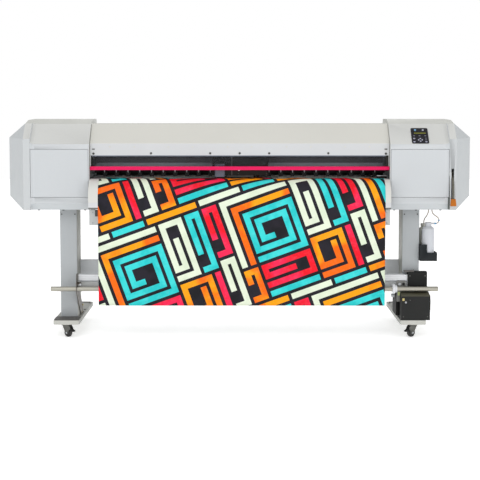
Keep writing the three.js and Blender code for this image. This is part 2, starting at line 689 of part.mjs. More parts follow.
const BUTTONS = {
  menu_button: { x: -23, y: 43, radius: 6.5, color: 0x7fb4d8 },
  power_button: { x: 21, y: 43, radius: 6, color: 0x9a9ca8 },
  arrow_pad: { x: 0, y: -35, radius: 17, color: 0x5d6078 },
};
const BUTTON_CLEARANCE = 0.6;
const BUTTON_FOOT = 1.2;
const BUTTON_TOP = 5;
const DISPLAY = { x0: -32, x1: 36, y0: 15, y1: 24 };

function panelGeometry() {
  const { width, height, thickness } = PANEL;
  const plan = roundedRectangle(-width / 2, width / 2, -height / 2, height / 2, 7, 3);
  const plate = upward(plan, GAP, thickness + GAP);
  const wells = Object.values(BUTTONS).map(({ x, y, radius }) => new THREE.CylinderGeometry(
    radius + BUTTON_CLEARANCE, radius + BUTTON_CLEARANCE, 4, 24,
  ).rotateX(Math.PI / 2).translate(x, y, BUTTON_FOOT - 0.6 + 2));
  const displayWell = new THREE.BoxGeometry(DISPLAY.x1 - DISPLAY.x0 + 1, DISPLAY.y1 - DISPLAY.y0 + 1, 4)
    .translate((DISPLAY.x0 + DISPLAY.x1) / 2, (DISPLAY.y0 + DISPLAY.y1) / 2, 3.8);
  return cut(plate, ...wells, displayWell);
}

function displayGeometry() {
  return new THREE.BoxGeometry(DISPLAY.x1 - DISPLAY.x0, DISPLAY.y1 - DISPLAY.y0, 1)
    .translate((DISPLAY.x0 + DISPLAY.x1) / 2, (DISPLAY.y0 + DISPLAY.y1) / 2, 2.7);
}

function buttonGeometry({ x, y, radius }) {
  const points = [[0, BUTTON_FOOT + 0.8], [radius, BUTTON_FOOT + 0.8], [radius, BUTTON_TOP - 1],
    [radius - 1, BUTTON_TOP], [0, BUTTON_TOP]];
  return new THREE.LatheGeometry(points.map(([r, z]) => new THREE.Vector2(r, z)), 24)
    .rotateX(Math.PI / 2).translate(x, y, 0);
}

addPiece('control_panel', panelGeometry(), finish(0x1f2025, 0.35, 0.0), panelGroup);
addPiece('panel_display', displayGeometry(), finish(0x8a8a4a, 0.2, 0.0), panelGroup);
for (const [name, button] of Object.entries(BUTTONS)) {
  addPiece(name, buttonGeometry(button), finish(button.color, 0.4, 0.0), panelGroup);
}

// ---------- Waste bottles, tray and hoses ----------
const POST_OUTER = POST_X + POST_WIDTH / 2;
const FRONT_BOTTLE = { x: 1092, depth: 178, radius: 35.5, bottom: 437, shoulder: 618, neck: 638, top: 652 };
const REAR_BOTTLE = { x: 1080, depth: 262, radius: 34, bottom: 437, shoulder: 604, neck: 624, top: 637 };
const HOSE_DIAMETER = 6;

function bottleGeometry({ x, depth, radius, bottom, shoulder, neck, top }) {
  const profile = [[0, bottom], [radius - 3, bottom], [radius, bottom + 3], [radius, shoulder - 8],
    [radius - 3, shoulder + 2], [17, neck - 6], [17, neck], [19, neck], [19, top], [0, top]];
  return new THREE.LatheGeometry(profile.map(([r, z]) => new THREE.Vector2(r, z)), 28)
    .rotateX(Math.PI / 2).translate(x, depthToY(depth), 0);
}

function trayGeometry() {
  const x0 = POST_OUTER + GAP;
  const tub = block(x0, 1139, 136, 304, 431, 480);
  const backPlate = block(x0, x0 + 4, 136, 304, 431, 527);
  const frontTab = block(x0, 1080, 136, 139, 431, 527);
  const well = block(x0 + 4, 1136, 139, 301, 435, 530);
  return cut(join(tub, backPlate, frontTab), well);
}

function hoseGeometry(route) {
  const curve = new THREE.CatmullRomCurve3(
    route.map(([x, depth, z]) => new THREE.Vector3(x, depthToY(depth), z)), false, 'centripetal',
  );
  const section = new THREE.Shape();
  section.absarc(0, 0, HOSE_DIAMETER / 2, 0, 2 * Math.PI, false);
  return new THREE.ExtrudeGeometry(section, { steps: 24, extrudePath: curve, curveSegments: 4 });
}

const NOZZLE_END = FRONT_BOTTLE.x + 35;
const FRONT_HOSE_ROUTE = [
  [1113, 176, HOSE_GLANDS.z - GAP], [1113, 176, 717], [1118, 176, 704], [1128, 176, 694], [1140, 176, 686],
  [1150, 176, 676], [1153.5, 176.4, 664], [1150, 177, 653], [1142, 177.6, 646.5],
  [1134, 178, 645], [NOZZLE_END + GAP, 178, 645],
];
const REAR_HOSE_ROUTE = [
  [1096, 196, HOSE_GLANDS.z - GAP], [1096, 196, 717], [1094, 202, 703], [1090, 213, 690], [1086, 228, 678],
  [1082.5, 244, 668], [1080.5, 256, 657], [1080, 262, 646],
  [REAR_BOTTLE.x, REAR_BOTTLE.depth, REAR_BOTTLE.top + GAP],
];

const nozzle = rodAlongX(FRONT_BOTTLE.x, NOZZLE_END, FRONT_BOTTLE.depth, 645, 4.5, 12);
addPiece('bottle_tray', trayGeometry(), finish(0x2e3335, 0.6, 0.1));
addPiece('front_waste_bottle', join(bottleGeometry(FRONT_BOTTLE), nozzle), finish(0xcdd2dc, 0.3, 0.0));
addPiece('rear_waste_bottle', bottleGeometry(REAR_BOTTLE), finish(0xaaaa9b, 0.3, 0.0));
addPiece('front_waste_hose', hoseGeometry(FRONT_HOSE_ROUTE), finish(0xb8a898, 0.4, 0.0));
addPiece('rear_waste_hose', hoseGeometry(REAR_HOSE_ROUTE), finish(0xb8a898, 0.4, 0.0));

// ---------- Take-up unit ----------
const POST_FACE = POST_FRONT - GAP;

function takeupRailGeometry() {
  const section = [[130, 278], [130, 283], [136, 286], [136, 309], [132, 311], [140, 313], [140, 319],
    [129, 321], [129, 351], [133, 355], [POST_FACE, 355], [POST_FACE, 278]];
  return alongX(section, -930, 967);
}

// Gearbox below, motor above; the bar lies in the step between them.
function takeupDriveGeometry() {
  const gearbox = alongX([[62, FOOT_TOP + GAP], [62, 237], [118, 254], [POST_FACE, 254],
    [POST_FACE, FOOT_TOP + GAP]], 925, 1090);
  const innerGearbox = block(906, POST_X - POST_WIDTH / 2 - GAP, 150, 300, 112, 250);
  const motor = alongX([[118, 250], [118, 366], [123, 371], [POST_FACE, 371], [POST_FACE, 250]], 969, 1080);
  const bulge = alongX([[90, 150], [84, 205], [96, 240], [150, 240], [150, 150]], 1088, 1096);
  return join(gearbox, innerGearbox, motor, bulge);
}

function takeupHubGeometry() {
  const profile = [[884, 9], [896, HUB.radius], [906 - GAP, HUB.radius]];
  return turnedAlongX(profile, HUB.depth, HUB.z, 20);
}

// A thin plate that leans back beside the left post; the tension bar lies through its front eye.
function takeupBracketGeometry() {
  const plate = [[78, 300], [92, 362], [126, 362], [126, 300], [330, 148], [346, 104], [250, 104], [86, 252],
    [78, 266]];
  const eye = rodAlongX(-960, -900, TENSION_BAR.depth, TENSION_BAR.z, TENSION_BAR.radius + 0.8, 24);
  const boss = rodAlongX(-934, -912, 114, 305, 7, 16);
  return join(cut(alongX(plate, -938, -934), eye), boss);
}

function tensionBarGeometry() {
  const { left, right, depth, z, radius } = TENSION_BAR;
  const profile = [[left, radius - 2], [left + 2, radius], [right - 2, radius], [right, radius - 2]];
  return turnedAlongX(profile, depth, z, 24);
}

// The collar is clamped on the bar.
function tensionCollarGeometry() {
  const inner = TENSION_BAR.radius + GAP;
  const profile = [[inner, 876], [26, 876], [29, 880], [29, 890], [21, 894], [21, 904], [inner, 904],
    [inner, 876]];
  return new THREE.LatheGeometry(profile.map(([r, x]) => new THREE.Vector2(r, x)), 24)
    .rotateZ(-Math.PI / 2).translate(0, depthToY(TENSION_BAR.depth), TENSION_BAR.z);
}

addPiece('takeup_rail', takeupRailGeometry(), aluminium());
addPiece('takeup_drive', takeupDriveGeometry(), blackPlastic());
addPiece('takeup_hub', takeupHubGeometry(), steel());
addPiece('takeup_bracket', takeupBracketGeometry(), finish(0x4d463f, 0.5, 0.3));
addPiece('tension_bar', tensionBarGeometry(), finish(0xbebcaf, 0.3, 0.9));
addPiece('tension_collar', tensionCollarGeometry(), finish(0xe8e9ea, 0.5, 0.0));

// ---------- Rear ----------
function powerInletGeometry() {
  const shell = block(1000, 1056, 780 + GAP, 792, 816, 850);
  const socket = block(1008, 1048, 784, 800, 822, 844);
  return cut(shell, socket);
}

addPiece('power_inlet', powerInletGeometry(), blackPlastic());

export default printer;
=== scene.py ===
import json
import math
import random

import bmesh
import bpy
from mathutils import Matrix, Vector, noise


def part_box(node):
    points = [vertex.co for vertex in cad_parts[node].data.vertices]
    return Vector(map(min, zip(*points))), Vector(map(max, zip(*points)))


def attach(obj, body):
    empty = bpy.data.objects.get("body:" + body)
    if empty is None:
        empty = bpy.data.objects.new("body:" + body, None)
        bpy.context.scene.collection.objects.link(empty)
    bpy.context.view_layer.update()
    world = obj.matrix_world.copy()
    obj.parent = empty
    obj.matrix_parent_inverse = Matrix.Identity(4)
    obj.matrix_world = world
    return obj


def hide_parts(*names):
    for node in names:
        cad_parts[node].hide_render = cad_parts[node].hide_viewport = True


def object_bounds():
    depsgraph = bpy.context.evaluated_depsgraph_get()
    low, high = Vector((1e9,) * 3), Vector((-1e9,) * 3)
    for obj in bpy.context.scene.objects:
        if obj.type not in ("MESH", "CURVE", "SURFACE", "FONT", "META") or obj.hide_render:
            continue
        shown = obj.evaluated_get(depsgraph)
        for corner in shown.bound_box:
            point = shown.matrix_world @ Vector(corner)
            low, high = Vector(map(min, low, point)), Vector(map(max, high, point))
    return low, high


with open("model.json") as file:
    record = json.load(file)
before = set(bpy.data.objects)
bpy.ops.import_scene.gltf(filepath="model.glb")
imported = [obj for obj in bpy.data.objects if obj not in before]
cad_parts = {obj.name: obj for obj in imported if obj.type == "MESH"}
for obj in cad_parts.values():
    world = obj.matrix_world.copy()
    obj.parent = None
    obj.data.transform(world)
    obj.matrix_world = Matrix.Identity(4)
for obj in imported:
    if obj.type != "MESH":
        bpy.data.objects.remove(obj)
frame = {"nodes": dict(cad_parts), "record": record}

# Places are (x, depth, z) in millimetres; depth runs back from the front of the CAD box, the hanging print.
cad_low, cad_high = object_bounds()
FRONT = cad_low.y
ROOT = "frame"
random.seed(7)


def at(x, depth, z):
    return Vector((x / 1000, FRONT + depth / 1000, z / 1000))


def depth_of(y):
    return (y - FRONT) * 1000


def edges_mm(node):
    """The node's box as (x0, x1, depth0, depth1, z0, z1) in millimetres."""
    low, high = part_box(node)
    return (low[0] * 1000, high[0] * 1000, depth_of(low[1]), depth_of(high[1]), low[2] * 1000, high[2] * 1000)


# ---------- Camera ----------
CAMERA_DISTANCE = 6.5       # from the hanging print to the lens
CAMERA_HEIGHT = 1.325
CAMERA_PITCH = 4.258         # degrees down; the shift keeps the rest of the framing
CAMERA_SHIFT = -0.1

camera_data = bpy.data.cameras.new("camera")
camera_data.lens = 86.88
camera_data.sensor_width = 36
camera_data.shift_x = 0.0007
camera_data.shift_y = CAMERA_SHIFT
camera_data.clip_end = 60
camera = bpy.data.objects.new("camera", camera_data)
camera.location = (0, FRONT - CAMERA_DISTANCE, CAMERA_HEIGHT)
camera.rotation_euler = (math.radians(90 - CAMERA_PITCH), 0, 0)
bpy.context.collection.objects.link(camera)
bpy.context.scene.camera = camera


# ---------- Materials ----------
def linear(srgb):
    return tuple((c / 255) / 12.92 if c <= 10 else ((c / 255 + 0.055) / 1.055) ** 2.4 for c in srgb)


class Nodes:
    """A material's node tree, with a short way to add nodes and link them."""

    def __init__(self, name):
        self.material = bpy.data.materials.new(name)
        self.material.use_nodes = True
        self.tree = self.material.node_tree
        self.shader = self.tree.nodes["Principled BSDF"]
        self.where = self.add("ShaderNodeTexCoord").outputs["Object"]

    def add(self, kind, **settings):
        node = self.tree.nodes.new(kind)
        for key, value in settings.items():
            setattr(node, key, value)
        return node

    def link(self, source, target):
        self.tree.links.new(source, target)

    def set(self, **values):
        for key, value in values.items():
            self.shader.inputs[key.replace("_", " ")].default_value = value

    def noise(self, scale, detail=4.0, stretch=(1, 1, 1)):
        mapping = self.add("ShaderNodeMapping")
        mapping.inputs["Scale"].default_value = stretch
        self.link(self.where, mapping.inputs["Vector"])
        made = self.add("ShaderNodeTexNoise")
        made.inputs["Scale"].default_value = scale
        made.inputs["Detail"].default_value = detail
        self.link(mapping.outputs["Vector"], made.inputs["Vector"])
        return made.outputs["Fac"]

    def remap(self, value, low, high, to_low, to_high):
        made = self.add("ShaderNodeMapRange")
        self.link(value, made.inputs["Value"])
        for key, number in zip(("From Min", "From Max", "To Min", "To Max"), (low, high, to_low, to_high)):
            made.inputs[key].default_value = number
        return made.outputs["Result"]

    def mix(self, factor, first, second):
        made = self.add("ShaderNodeMix", data_type="RGBA")
        self.link(factor, made.inputs["Factor"])
        for socket, colour in ((made.inputs["A"], first), (made.inputs["B"], second)):
            if isinstance(colour, tuple):
                socket.default_value = (*colour, 1)
            else:
                self.link(colour, socket)
        return made.outputs["Result"]

    def bump(self, height, strength, distance=0.001):
        made = self.add("ShaderNodeBump")
        made.inputs["Strength"].default_value = strength
        made.inputs["Distance"].default_value = distance
        self.link(height, made.inputs["Height"])
        self.link(made.outputs["Normal"], self.shader.inputs["Normal"])


def surface(name, srgb, roughness, metallic=0.0, mottle=0.05, mottle_scale=3.0, grain=0.12, grain_scale=700,
            brushed=None, wear=0.25, coat=0.0, alpha=1.0, transmission=0.0, rough_change=0.08, specular=0.4):
    """A coloured surface with slow colour change, uneven roughness, fine grain and paler worn edges."""
    nodes = Nodes(name)
    colour = linear(srgb)
    stretch = (1, 1, 1)
    if brushed is not None:
        stretch = tuple(0.02 if axis == brushed else 1 for axis in range(3))
    slow = nodes.noise(mottle_scale, 5.0)
    darker = tuple(c * (1 - mottle) for c in colour)
    lighter = tuple(min(1.0, c * (1 + mottle)) for c in colour)
    body = nodes.mix(nodes.remap(slow, 0.35, 0.65, 0, 1), darker, lighter)
    if wear:
        pointed = nodes.add("ShaderNodeNewGeometry").outputs["Pointiness"]
        worn = tuple(c + (1 - c) * 0.35 for c in colour)
        body = nodes.mix(nodes.remap(pointed, 0.52, 0.62, 0, wear), body, worn)
    nodes.link(body, nodes.shader.inputs["Base Color"])
    fine = nodes.noise(grain_scale, 3.0, stretch)
    nodes.link(nodes.remap(nodes.noise(mottle_scale * 5, 6.0, stretch), 0.3, 0.7, roughness - rough_change,
                           roughness + rough_change), nodes.shader.inputs["Roughness"])
    nodes.bump(fine, grain, 0.0004)
    nodes.set(Metallic=metallic, Coat_Weight=coat, Alpha=alpha, Transmission_Weight=transmission,
              Specular_IOR_Level=specular)
    return nodes.material


MATERIALS = {
    "cover_grey": surface("cover_grey", (195, 199, 202), 0.5, mottle=0.015, grain=0.2, wear=0.25),
    # Painted shade: a slightly darker copy of the cover grey for the sideways faces and the outer end frame.
    "cover_cheek_painted_shade": surface("cover_cheek_painted_shade", (189, 193, 195), 0.5, mottle=0.015, grain=0.2, wear=0.25),
    # Painted light: warm lit copies of the cover grey for the hood and the upward slopes.
    "cover_warm": surface("cover_warm", (209, 208, 201), 0.5, mottle=0.015, grain=0.2, wear=0.2),
    "cover_slope_painted_light": surface("cover_slope_painted_light", (204, 205, 202), 0.5, mottle=0.015, grain=0.2, wear=0.2),
    # Painted shade: a darker, warmer copy of the cover grey for the ridge tops and the inner walls.
    "cover_ridge_painted_shade": surface("cover_ridge_painted_shade", (193, 194, 188), 0.5, mottle=0.015, grain=0.2, wear=0.2),
    "cover_band": surface("cover_band", (203, 205, 207), 0.48, mottle=0.015, grain=0.2, wear=0.2),
    "apron_white": surface("apron_white", (210, 210, 205), 0.48, mottle=0.015, grain=0.2, wear=0.2),
    # Painted shade: a darker copy of the cover grey for the downward low chamfer.
    "cover_low_painted_shade": surface("cover_low_painted_shade", (186, 191, 194), 0.5, mottle=0.02, grain=0.2, wear=0.2),
    # Painted shade: a dark grey for the covers' undersides and the louvre slots.
    "cover_under_painted_shade": surface("cover_under_painted_shade", (98, 100, 98), 0.6, mottle=0.05, grain=0.2, wear=0.2, specular=0.2),
    "stand_grey": surface("stand_grey", (165, 170, 173), 0.45, mottle=0.04, grain=0.3, grain_scale=500),
    "stand_shade": surface("stand_shade", (150, 150, 142), 0.5, mottle=0.05, grain=0.3, grain_scale=500),
    # Painted light: the stand grey made paler for the stretcher, to lift the shade it sits in.
    "stretcher_grey_painted_light": surface("stretcher_grey_painted_light", (204, 207, 210), 0.45, mottle=0.03, grain=0.3, grain_scale=500),
    "foot_grey": surface("foot_grey", (150, 151, 145), 0.45, mottle=0.05, grain=0.3, grain_scale=500),
    # Painted light: a paler copy of the foot grey for the feet's front faces.
    "foot_front_painted_light": surface("foot_front_painted_light", (190, 190, 183), 0.45, mottle=0.04, grain=0.3, grain_scale=500),
    "steel": surface("steel", (172, 175, 178), 0.32, 0.9, mottle=0.08, brushed=0),
    "dark_steel": surface("dark_steel", (96, 96, 92), 0.35, 0.6, mottle=0.12, mottle_scale=30, specular=0.2),
    "bar_steel": surface("bar_steel", (171, 168, 156), 0.34, 0.8, mottle=0.06, brushed=0),
    "aluminium": surface("aluminium", (221, 223, 226), 0.38, 0.35, mottle=0.03, brushed=0),
    "rail_grey": surface("rail_grey", (196, 198, 198), 0.42, 0.3, mottle=0.04, brushed=0),
    "black_plastic": surface("black_plastic", (27, 28, 27), 0.55, mottle=0.08, grain=0.4, grain_scale=1100,
                             specular=0.08, wear=0.1),
    "casing_dark": surface("casing_dark", (27, 27, 25), 0.6, mottle=0.1, grain=0.4, specular=0.1, wear=0.05),
    # Painted light: an olive lit copy of the black plastic for the drive housing's upward faces.
    "drive_top_painted_light": surface("drive_top_painted_light", (80, 78, 62), 0.5, mottle=0.08, grain=0.4, specular=0.12),
    "dark_grey_plastic": surface("dark_grey_plastic", (50, 50, 50), 0.52, mottle=0.08, grain=0.5,
                                 grain_scale=1100, specular=0.15),
    "tray_metal": surface("tray_metal", (24, 29, 32), 0.5, mottle=0.08, grain=0.3, specular=0.08, wear=0.1),
    "window": surface("window", (46, 48, 54), 0.12, mottle=0.05, grain=0.02, wear=0, coat=0.15, alpha=0.16,
                      rough_change=0.03, specular=0.3),
    "beam_grey": surface("beam_grey", (126, 126, 131), 0.4, mottle=0.1, mottle_scale=4, grain=0.05, wear=0,
                         specular=0.2),
    "step_shade": surface("step_shade", (96, 102, 99), 0.6, mottle=0.05, grain=0.1, wear=0, specular=0.1),
    "beam_light": surface("beam_light", (222, 230, 244), 0.4, mottle=0.06, mottle_scale=4, grain=0.05, wear=0,
                          specular=0.2),
    "window_strip": surface("window_strip", (118, 126, 140), 0.3, mottle=0.1, mottle_scale=2, grain=0.05, wear=0,
                            specular=0.3),
    "magenta": surface("magenta", (247, 38, 102), 0.34, mottle=0.02, grain=0.05, wear=0, specular=0.12),
    "cap_blue_grey": surface("cap_blue_grey", (92, 100, 116), 0.3, mottle=0.08, mottle_scale=20, grain=0.1,
                             specular=0.3),
    "wheel_rubber": surface("wheel_rubber", (38, 37, 35), 0.7, mottle=0.15, mottle_scale=40, grain=0.6,
                            specular=0.15),
    "lever_metal": surface("lever_metal", (92, 90, 80), 0.4, 0.2, mottle=0.08, mottle_scale=15, specular=0.2),
    "grip_orange": surface("grip_orange", (178, 98, 0), 0.45, mottle=0.06, mottle_scale=20, grain=0.3,
                           specular=0.1, wear=0.1),
    "display": surface("display", (116, 116, 52), 0.2, mottle=0.16, mottle_scale=120, grain=0.02, wear=0,
                       specular=0.15),
    "button_blue": surface("button_blue", (108, 160, 200), 0.3, mottle=0.06, mottle_scale=90, wear=0.1),
    "button_white": surface("button_white", (168, 170, 182), 0.35, mottle=0.06, mottle_scale=90, wear=0.1),
    "pad_grey": surface("pad_grey", (112, 112, 124), 0.45, mottle=0.06, mottle_scale=60, wear=0.1, specular=0.2),
    "key_light": surface("key_light", (166, 166, 184), 0.4, mottle=0.05, mottle_scale=60, wear=0.1, specular=0.2),
    "panel_face": surface("panel_face", (30, 30, 36), 0.3, mottle=0.08, mottle_scale=20, grain=0.1, wear=0.1,
                          specular=0.15),
    "bottle_clear": surface("bottle_clear", (207, 210, 216), 0.34, mottle=0.02, mottle_scale=8, grain=0.1,
                            transmission=0.1, coat=0.1, rough_change=0.04),
    "bottle_beige": surface("bottle_beige", (224, 223, 212), 0.36, mottle=0.05, mottle_scale=14, grain=0.1,
                            transmission=0.1, coat=0.1),
    "hose_clear": surface("hose_clear", (178, 164, 150), 0.3, mottle=0.12, mottle_scale=60, grain=0.05, wear=0,
                          coat=0.2),
    "belt_rubber": surface("belt_rubber", (30, 30, 30), 0.7, mottle=0.15, grain=0.5, specular=0.15),
    "media_white": surface("media_white", (238, 238, 233), 0.55, mottle=0.02, grain=0.25, grain_scale=300, wear=0),
    "bracket_brown": surface("bracket_brown", (84, 78, 72), 0.45, 0.2, mottle=0.1, mottle_scale=10, specular=0.2),
    "foot_plate": surface("foot_plate", (64, 61, 57), 0.5, 0.1, mottle=0.1, mottle_scale=10, specular=0.1),
    "collar_white": surface("collar_white", (226, 228, 232), 0.4, mottle=0.03, mottle_scale=20),
    "screw_dark": surface("screw_dark", (70, 70, 66), 0.35, 0.5, mottle=0.1, mottle_scale=200),
    "sticker_green": surface("sticker_green", (170, 184, 96), 0.5, mottle=0.2, mottle_scale=150, grain=0.1),
    "sticker_yellow": surface("sticker_yellow", (196, 176, 92), 0.5, mottle=0.15, mottle_scale=150, grain=0.1),
}


# ---------- Mesh helpers ----------
def grow(bm, points, faces):
    made = [bm.verts.new(p) for p in points]
    return [bm.faces.new([made[i] for i in face]) for face in faces]


def add_prism(bm, outline, place, thickness):
    """An outline of (a, b) points, raised along the third axis of place, from 0 to thickness."""
    count = len(outline)
    points = [place @ Vector((a, b, c)) for c in (0, thickness) for a, b in outline]
    faces = [list(range(count))[::-1], [count + i for i in range(count)]]
    faces += [[i, (i + 1) % count, count + (i + 1) % count, count + i] for i in range(count)]
    return grow(bm, points, faces)


def add_box(bm, low, high):
    low, high = Vector(map(min, low, high)), Vector(map(max, low, high))
    size = high - low
    outline = [(0, 0), (size.x, 0), (size.x, size.y), (0, size.y)]
    return add_prism(bm, outline, Matrix.Translation(low), size.z)


def add_lathe(bm, profile, place, segments=24):
    """A turned shape about place's third axis, closed at both ends; the profile lists (radius, height)."""
    rings = []
    for radius, height in profile:
        if radius < 1e-7:
            rings.append([bm.verts.new(place @ Vector((0, 0, height)))])
            continue
        angles = (2 * math.pi * i / segments for i in range(segments))
        rings.append([bm.verts.new(place @ Vector((radius * math.cos(a), radius * math.sin(a), height)))
                      for a in angles])
    for lower, upper in zip(rings, rings[1:]):
        for i in range(segments):
            j = (i + 1) % segments
            corners = [lower[i % len(lower)], lower[j % len(lower)], upper[j % len(upper)], upper[i % len(upper)]]
            bm.faces.new(list(dict.fromkeys(corners)))
    for ring, turned in ((rings[0], True), (rings[-1], False)):
        if len(ring) > 2:
            bm.faces.new(ring[::-1] if turned else ring)


def add_ring(bm, section, place, segments=28):
    """A closed ring about place's third axis; the section lists (radius, height) all round its cut."""
    cuts = []
    for i in range(segments):
        angle = 2 * math.pi * i / segments
        cuts.append([bm.verts.new(place @ Vector((radius * math.cos(angle), radius * math.sin(angle), height)))
                     for radius, height in section])
    for i, cut in enumerate(cuts):
        following = cuts[(i + 1) % segments]
        for j in range(len(section)):
            k = (j + 1) % len(section)
            bm.faces.new((cut[j], cut[k], following[k], following[j]))


def facing(point, normal, turn=0.0):
    """A matrix at point whose third axis is normal."""
    rotation = Vector(normal).to_track_quat("Z", "Y").to_matrix().to_4x4()
    return Matrix.Translation(point) @ rotation @ Matrix.Rotation(turn, 4, "Z")


def rounded(width, height, radius, steps=5):
    """A rectangle about the origin with round corners."""
    points = []
    for sx, sy, start in ((1, -1, -90), (1, 1, 0), (-1, 1, 90), (-1, -1, 180)):
        for i in range(steps + 1):
            angle = math.radians(start + 90 * i / steps)
            points.append((sx * (width / 2 - radius) + radius * math.cos(angle),
                           sy * (height / 2 - radius) + radius * math.sin(angle)))
    return points


def bevel_edges(bm, width, segments, low, high, shortest=0.0):
    """Rounds the convex edges whose faces meet at low to high degrees."""
    chosen = []
    for edge in bm.edges:
        if len(edge.link_faces) != 2 or not edge.is_convex or edge.calc_length() < shortest:
            continue
        if low <= math.degrees(edge.calc_face_angle()) < high:
            chosen.append(edge)
    if chosen:
        bmesh.ops.bevel(bm, geom=chosen, offset=width, segments=segments, profile=0.5, affect="EDGES",
                        clamp_overlap=True)


def piece(name, bm, material, body, rides=True, sharp=35):
    """Turns a bmesh into a finished piece that rides on a body; material is a slot name or a list of them."""
    names = [material] if isinstance(material, str) else material
    bmesh.ops.recalc_face_normals(bm, faces=bm.faces)
    mesh = bpy.data.meshes.new(name)
    for face in bm.faces:
        face.smooth = True
    bm.to_mesh(mesh)
    bm.free()
    mesh.set_sharp_from_angle(angle=math.radians(sharp))
    for slot_name in names:
        mesh.materials.append(MATERIALS[slot_name])
    made = bpy.data.objects.new(name, mesh)
    bpy.context.collection.objects.link(made)
    if rides:
        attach(made, body)
    return made


JOINTS = {j["name"]: j for j in frame["record"]["behaviour"]["joints"]}
SLOT_OF = {s["node"]: s["material_slot"] for s in frame["record"]["subparts"]}
BODY_OF = {n: b for b, members in frame["record"]["behaviour"]["bodies"].items() for n in members}


def clean_copy(node):
    """The node's mesh with its flat triangles joined into whole faces."""
    bm = bmesh.new()
    bm.from_mesh(frame["nodes"][node].data)
    bmesh.ops.remove_doubles(bm, verts=bm.verts, dist=1e-5)
    bmesh.ops.dissolve_limit(bm, angle_limit=math.radians(0.6), verts=bm.verts, edges=bm.edges)
    return bm


def refine(node, crease=0.0, rim=0.0007, segments=3, low=12, shortest=0.02, material=None, detail=None):
    """A piece that stands for a CAD node: same shape, with rounded creases and rims."""
    bm = clean_copy(node)
    if crease:
        bevel_edges(bm, crease, segments, low, 72, shortest)
    if rim:
        bevel_edges(bm, rim, 2, 72, 115)
    if detail:
        detail(bm)
    made = piece(f"{node}_finished", bm, material or SLOT_OF[node], BODY_OF[node])
    smooth_flats(made)
    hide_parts(node)
    return made


def smooth_flats(made):
    weighted = made.modifiers.new("flat_faces", "WEIGHTED_NORMAL")
    weighted.keep_sharp = True


# ---------- Hoses ----------
HOSE_DIAMETER = 0.006
FRONT_HOSE = [
    (1113, 176, 724.7), (1113, 176, 717), (1118, 176, 704), (1128, 176, 694), (1140, 176, 686), (1150, 176, 676),
    (1153.5, 176.4, 664), (1150, 177, 653), (1142, 177.6, 646.5), (1134, 178, 645), (1127.3, 178, 645),
]
REAR_HOSE = [
    (1096, 196, 724.7), (1096, 196, 717), (1094, 202, 703), (1090, 213, 690), (1086, 228, 678),
    (1082.5, 244, 668), (1080.5, 256, 657), (1080, 262, 646), (1080, 262, 637.3),
]


def smooth_route(route, per_span=4):
    """Points on a centripetal Catmull-Rom curve through the route."""
    points = [at(*p) for p in route]
    points = [2 * points[0] - points[1], *points, 2 * points[-1] - points[-2]]
    made = []
    for p0, p1, p2, p3 in zip(points, points[1:], points[2:], points[3:]):
        times = [0.0]
        for a, b in ((p0, p1), (p1, p2), (p2, p3)):
            times.append(times[-1] + math.sqrt((b - a).length))
        t0, t1, t2, t3 = times
        for step in range(per_span):
            t = t1 + (t2 - t1) * step / per_span
            a1 = p0.lerp(p1, (t - t0) / (t1 - t0))
            a2 = p1.lerp(p2, (t - t1) / (t2 - t1))
            a3 = p2.lerp(p3, (t - t2) / (t3 - t2))
            b1 = a1.lerp(a2, (t - t0) / (t2 - t0))
            b2 = a2.lerp(a3, (t - t1) / (t3 - t1))
            made.append(b1.lerp(b2, (t - t1) / (t2 - t1)))
    return [*made, points[-2]]


def make_hose(node, route, fittings=()):
    points = smooth_route(route)
    curve = bpy.data.curves.new(f"{node}_tube", "CURVE")
    curve.dimensions = "3D"
    curve.bevel_depth = HOSE_DIAMETER / 2
    curve.bevel_resolution = 5
    curve.use_fill_caps = True
    spline = curve.splines.new("POLY")
    spline.points.add(len(points) - 1)
    for point, place in zip(spline.points, points):
        point.co = (*place, 1)
    spline.use_smooth = True
    curve.materials.append(MATERIALS["hose_clear"])
    hose = bpy.data.objects.new(f"{node}_tube", curve)
    bpy.context.collection.objects.link(hose)
    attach(hose, ROOT)
    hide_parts(node)
    return hose


def hose_fitting():
    """A ribbed push-on joint where the front hose meets its bottle's nozzle."""
    bm = bmesh.new()
    profile = [(0, 0), (0.0042, 0), (0.0052, 0.001), (0.0052, 0.004), (0.0044, 0.005), (0.0052, 0.006),
               (0.0052, 0.009), (0.0040, 0.011), (0.0040, 0.013), (0, 0.013)]
    add_lathe(bm, profile, facing(at(1126.5, 178, 645), (1, 0, 0)), 20)
    return piece("front_hose_fitting", bm, "button_blue", ROOT)


def hose_clip():
    """A blue ring at the outer bend of the front hose."""
    bm = bmesh.new()
    section = [(0.0031, -0.0035), (0.0044, -0.0035), (0.0050, -0.0020), (0.0050, 0.0020), (0.0044, 0.0035),
               (0.0031, 0.0035)]
    add_ring(bm, section, Matrix.Translation(at(1153.4, 176.4, 663.5)), 20)
    return piece("front_hose_clip", bm, "button_blue", ROOT)


make_hose("front_waste_hose", FRONT_HOSE, [hose_fitting(), hose_clip()])
make_hose("rear_waste_hose", REAR_HOSE)

# ---------- Lights and floor ----------
def area_light(name, place, target, size, power):
    data = bpy.data.lights.new(name, "AREA")
    data.shape = "RECTANGLE"
    data.size, data.size_y = size
    data.energy = power
    light = bpy.data.objects.new(name, data)
    light.location = place
    light.rotation_mode = "QUATERNION"
    light.rotation_quaternion = (Vector(target) - Vector(place)).to_track_quat("-Z", "Y")
    bpy.context.collection.objects.link(light)


def make_floor():
    reach = 14
    bm = bmesh.new()
    grow(bm, [(-reach, -reach, 0), (reach, -reach, 0), (reach, reach, 0), (-reach, reach, 0)], [(0, 1, 2, 3)])
    floor = piece("floor", bm, "floor", None, rides=False)


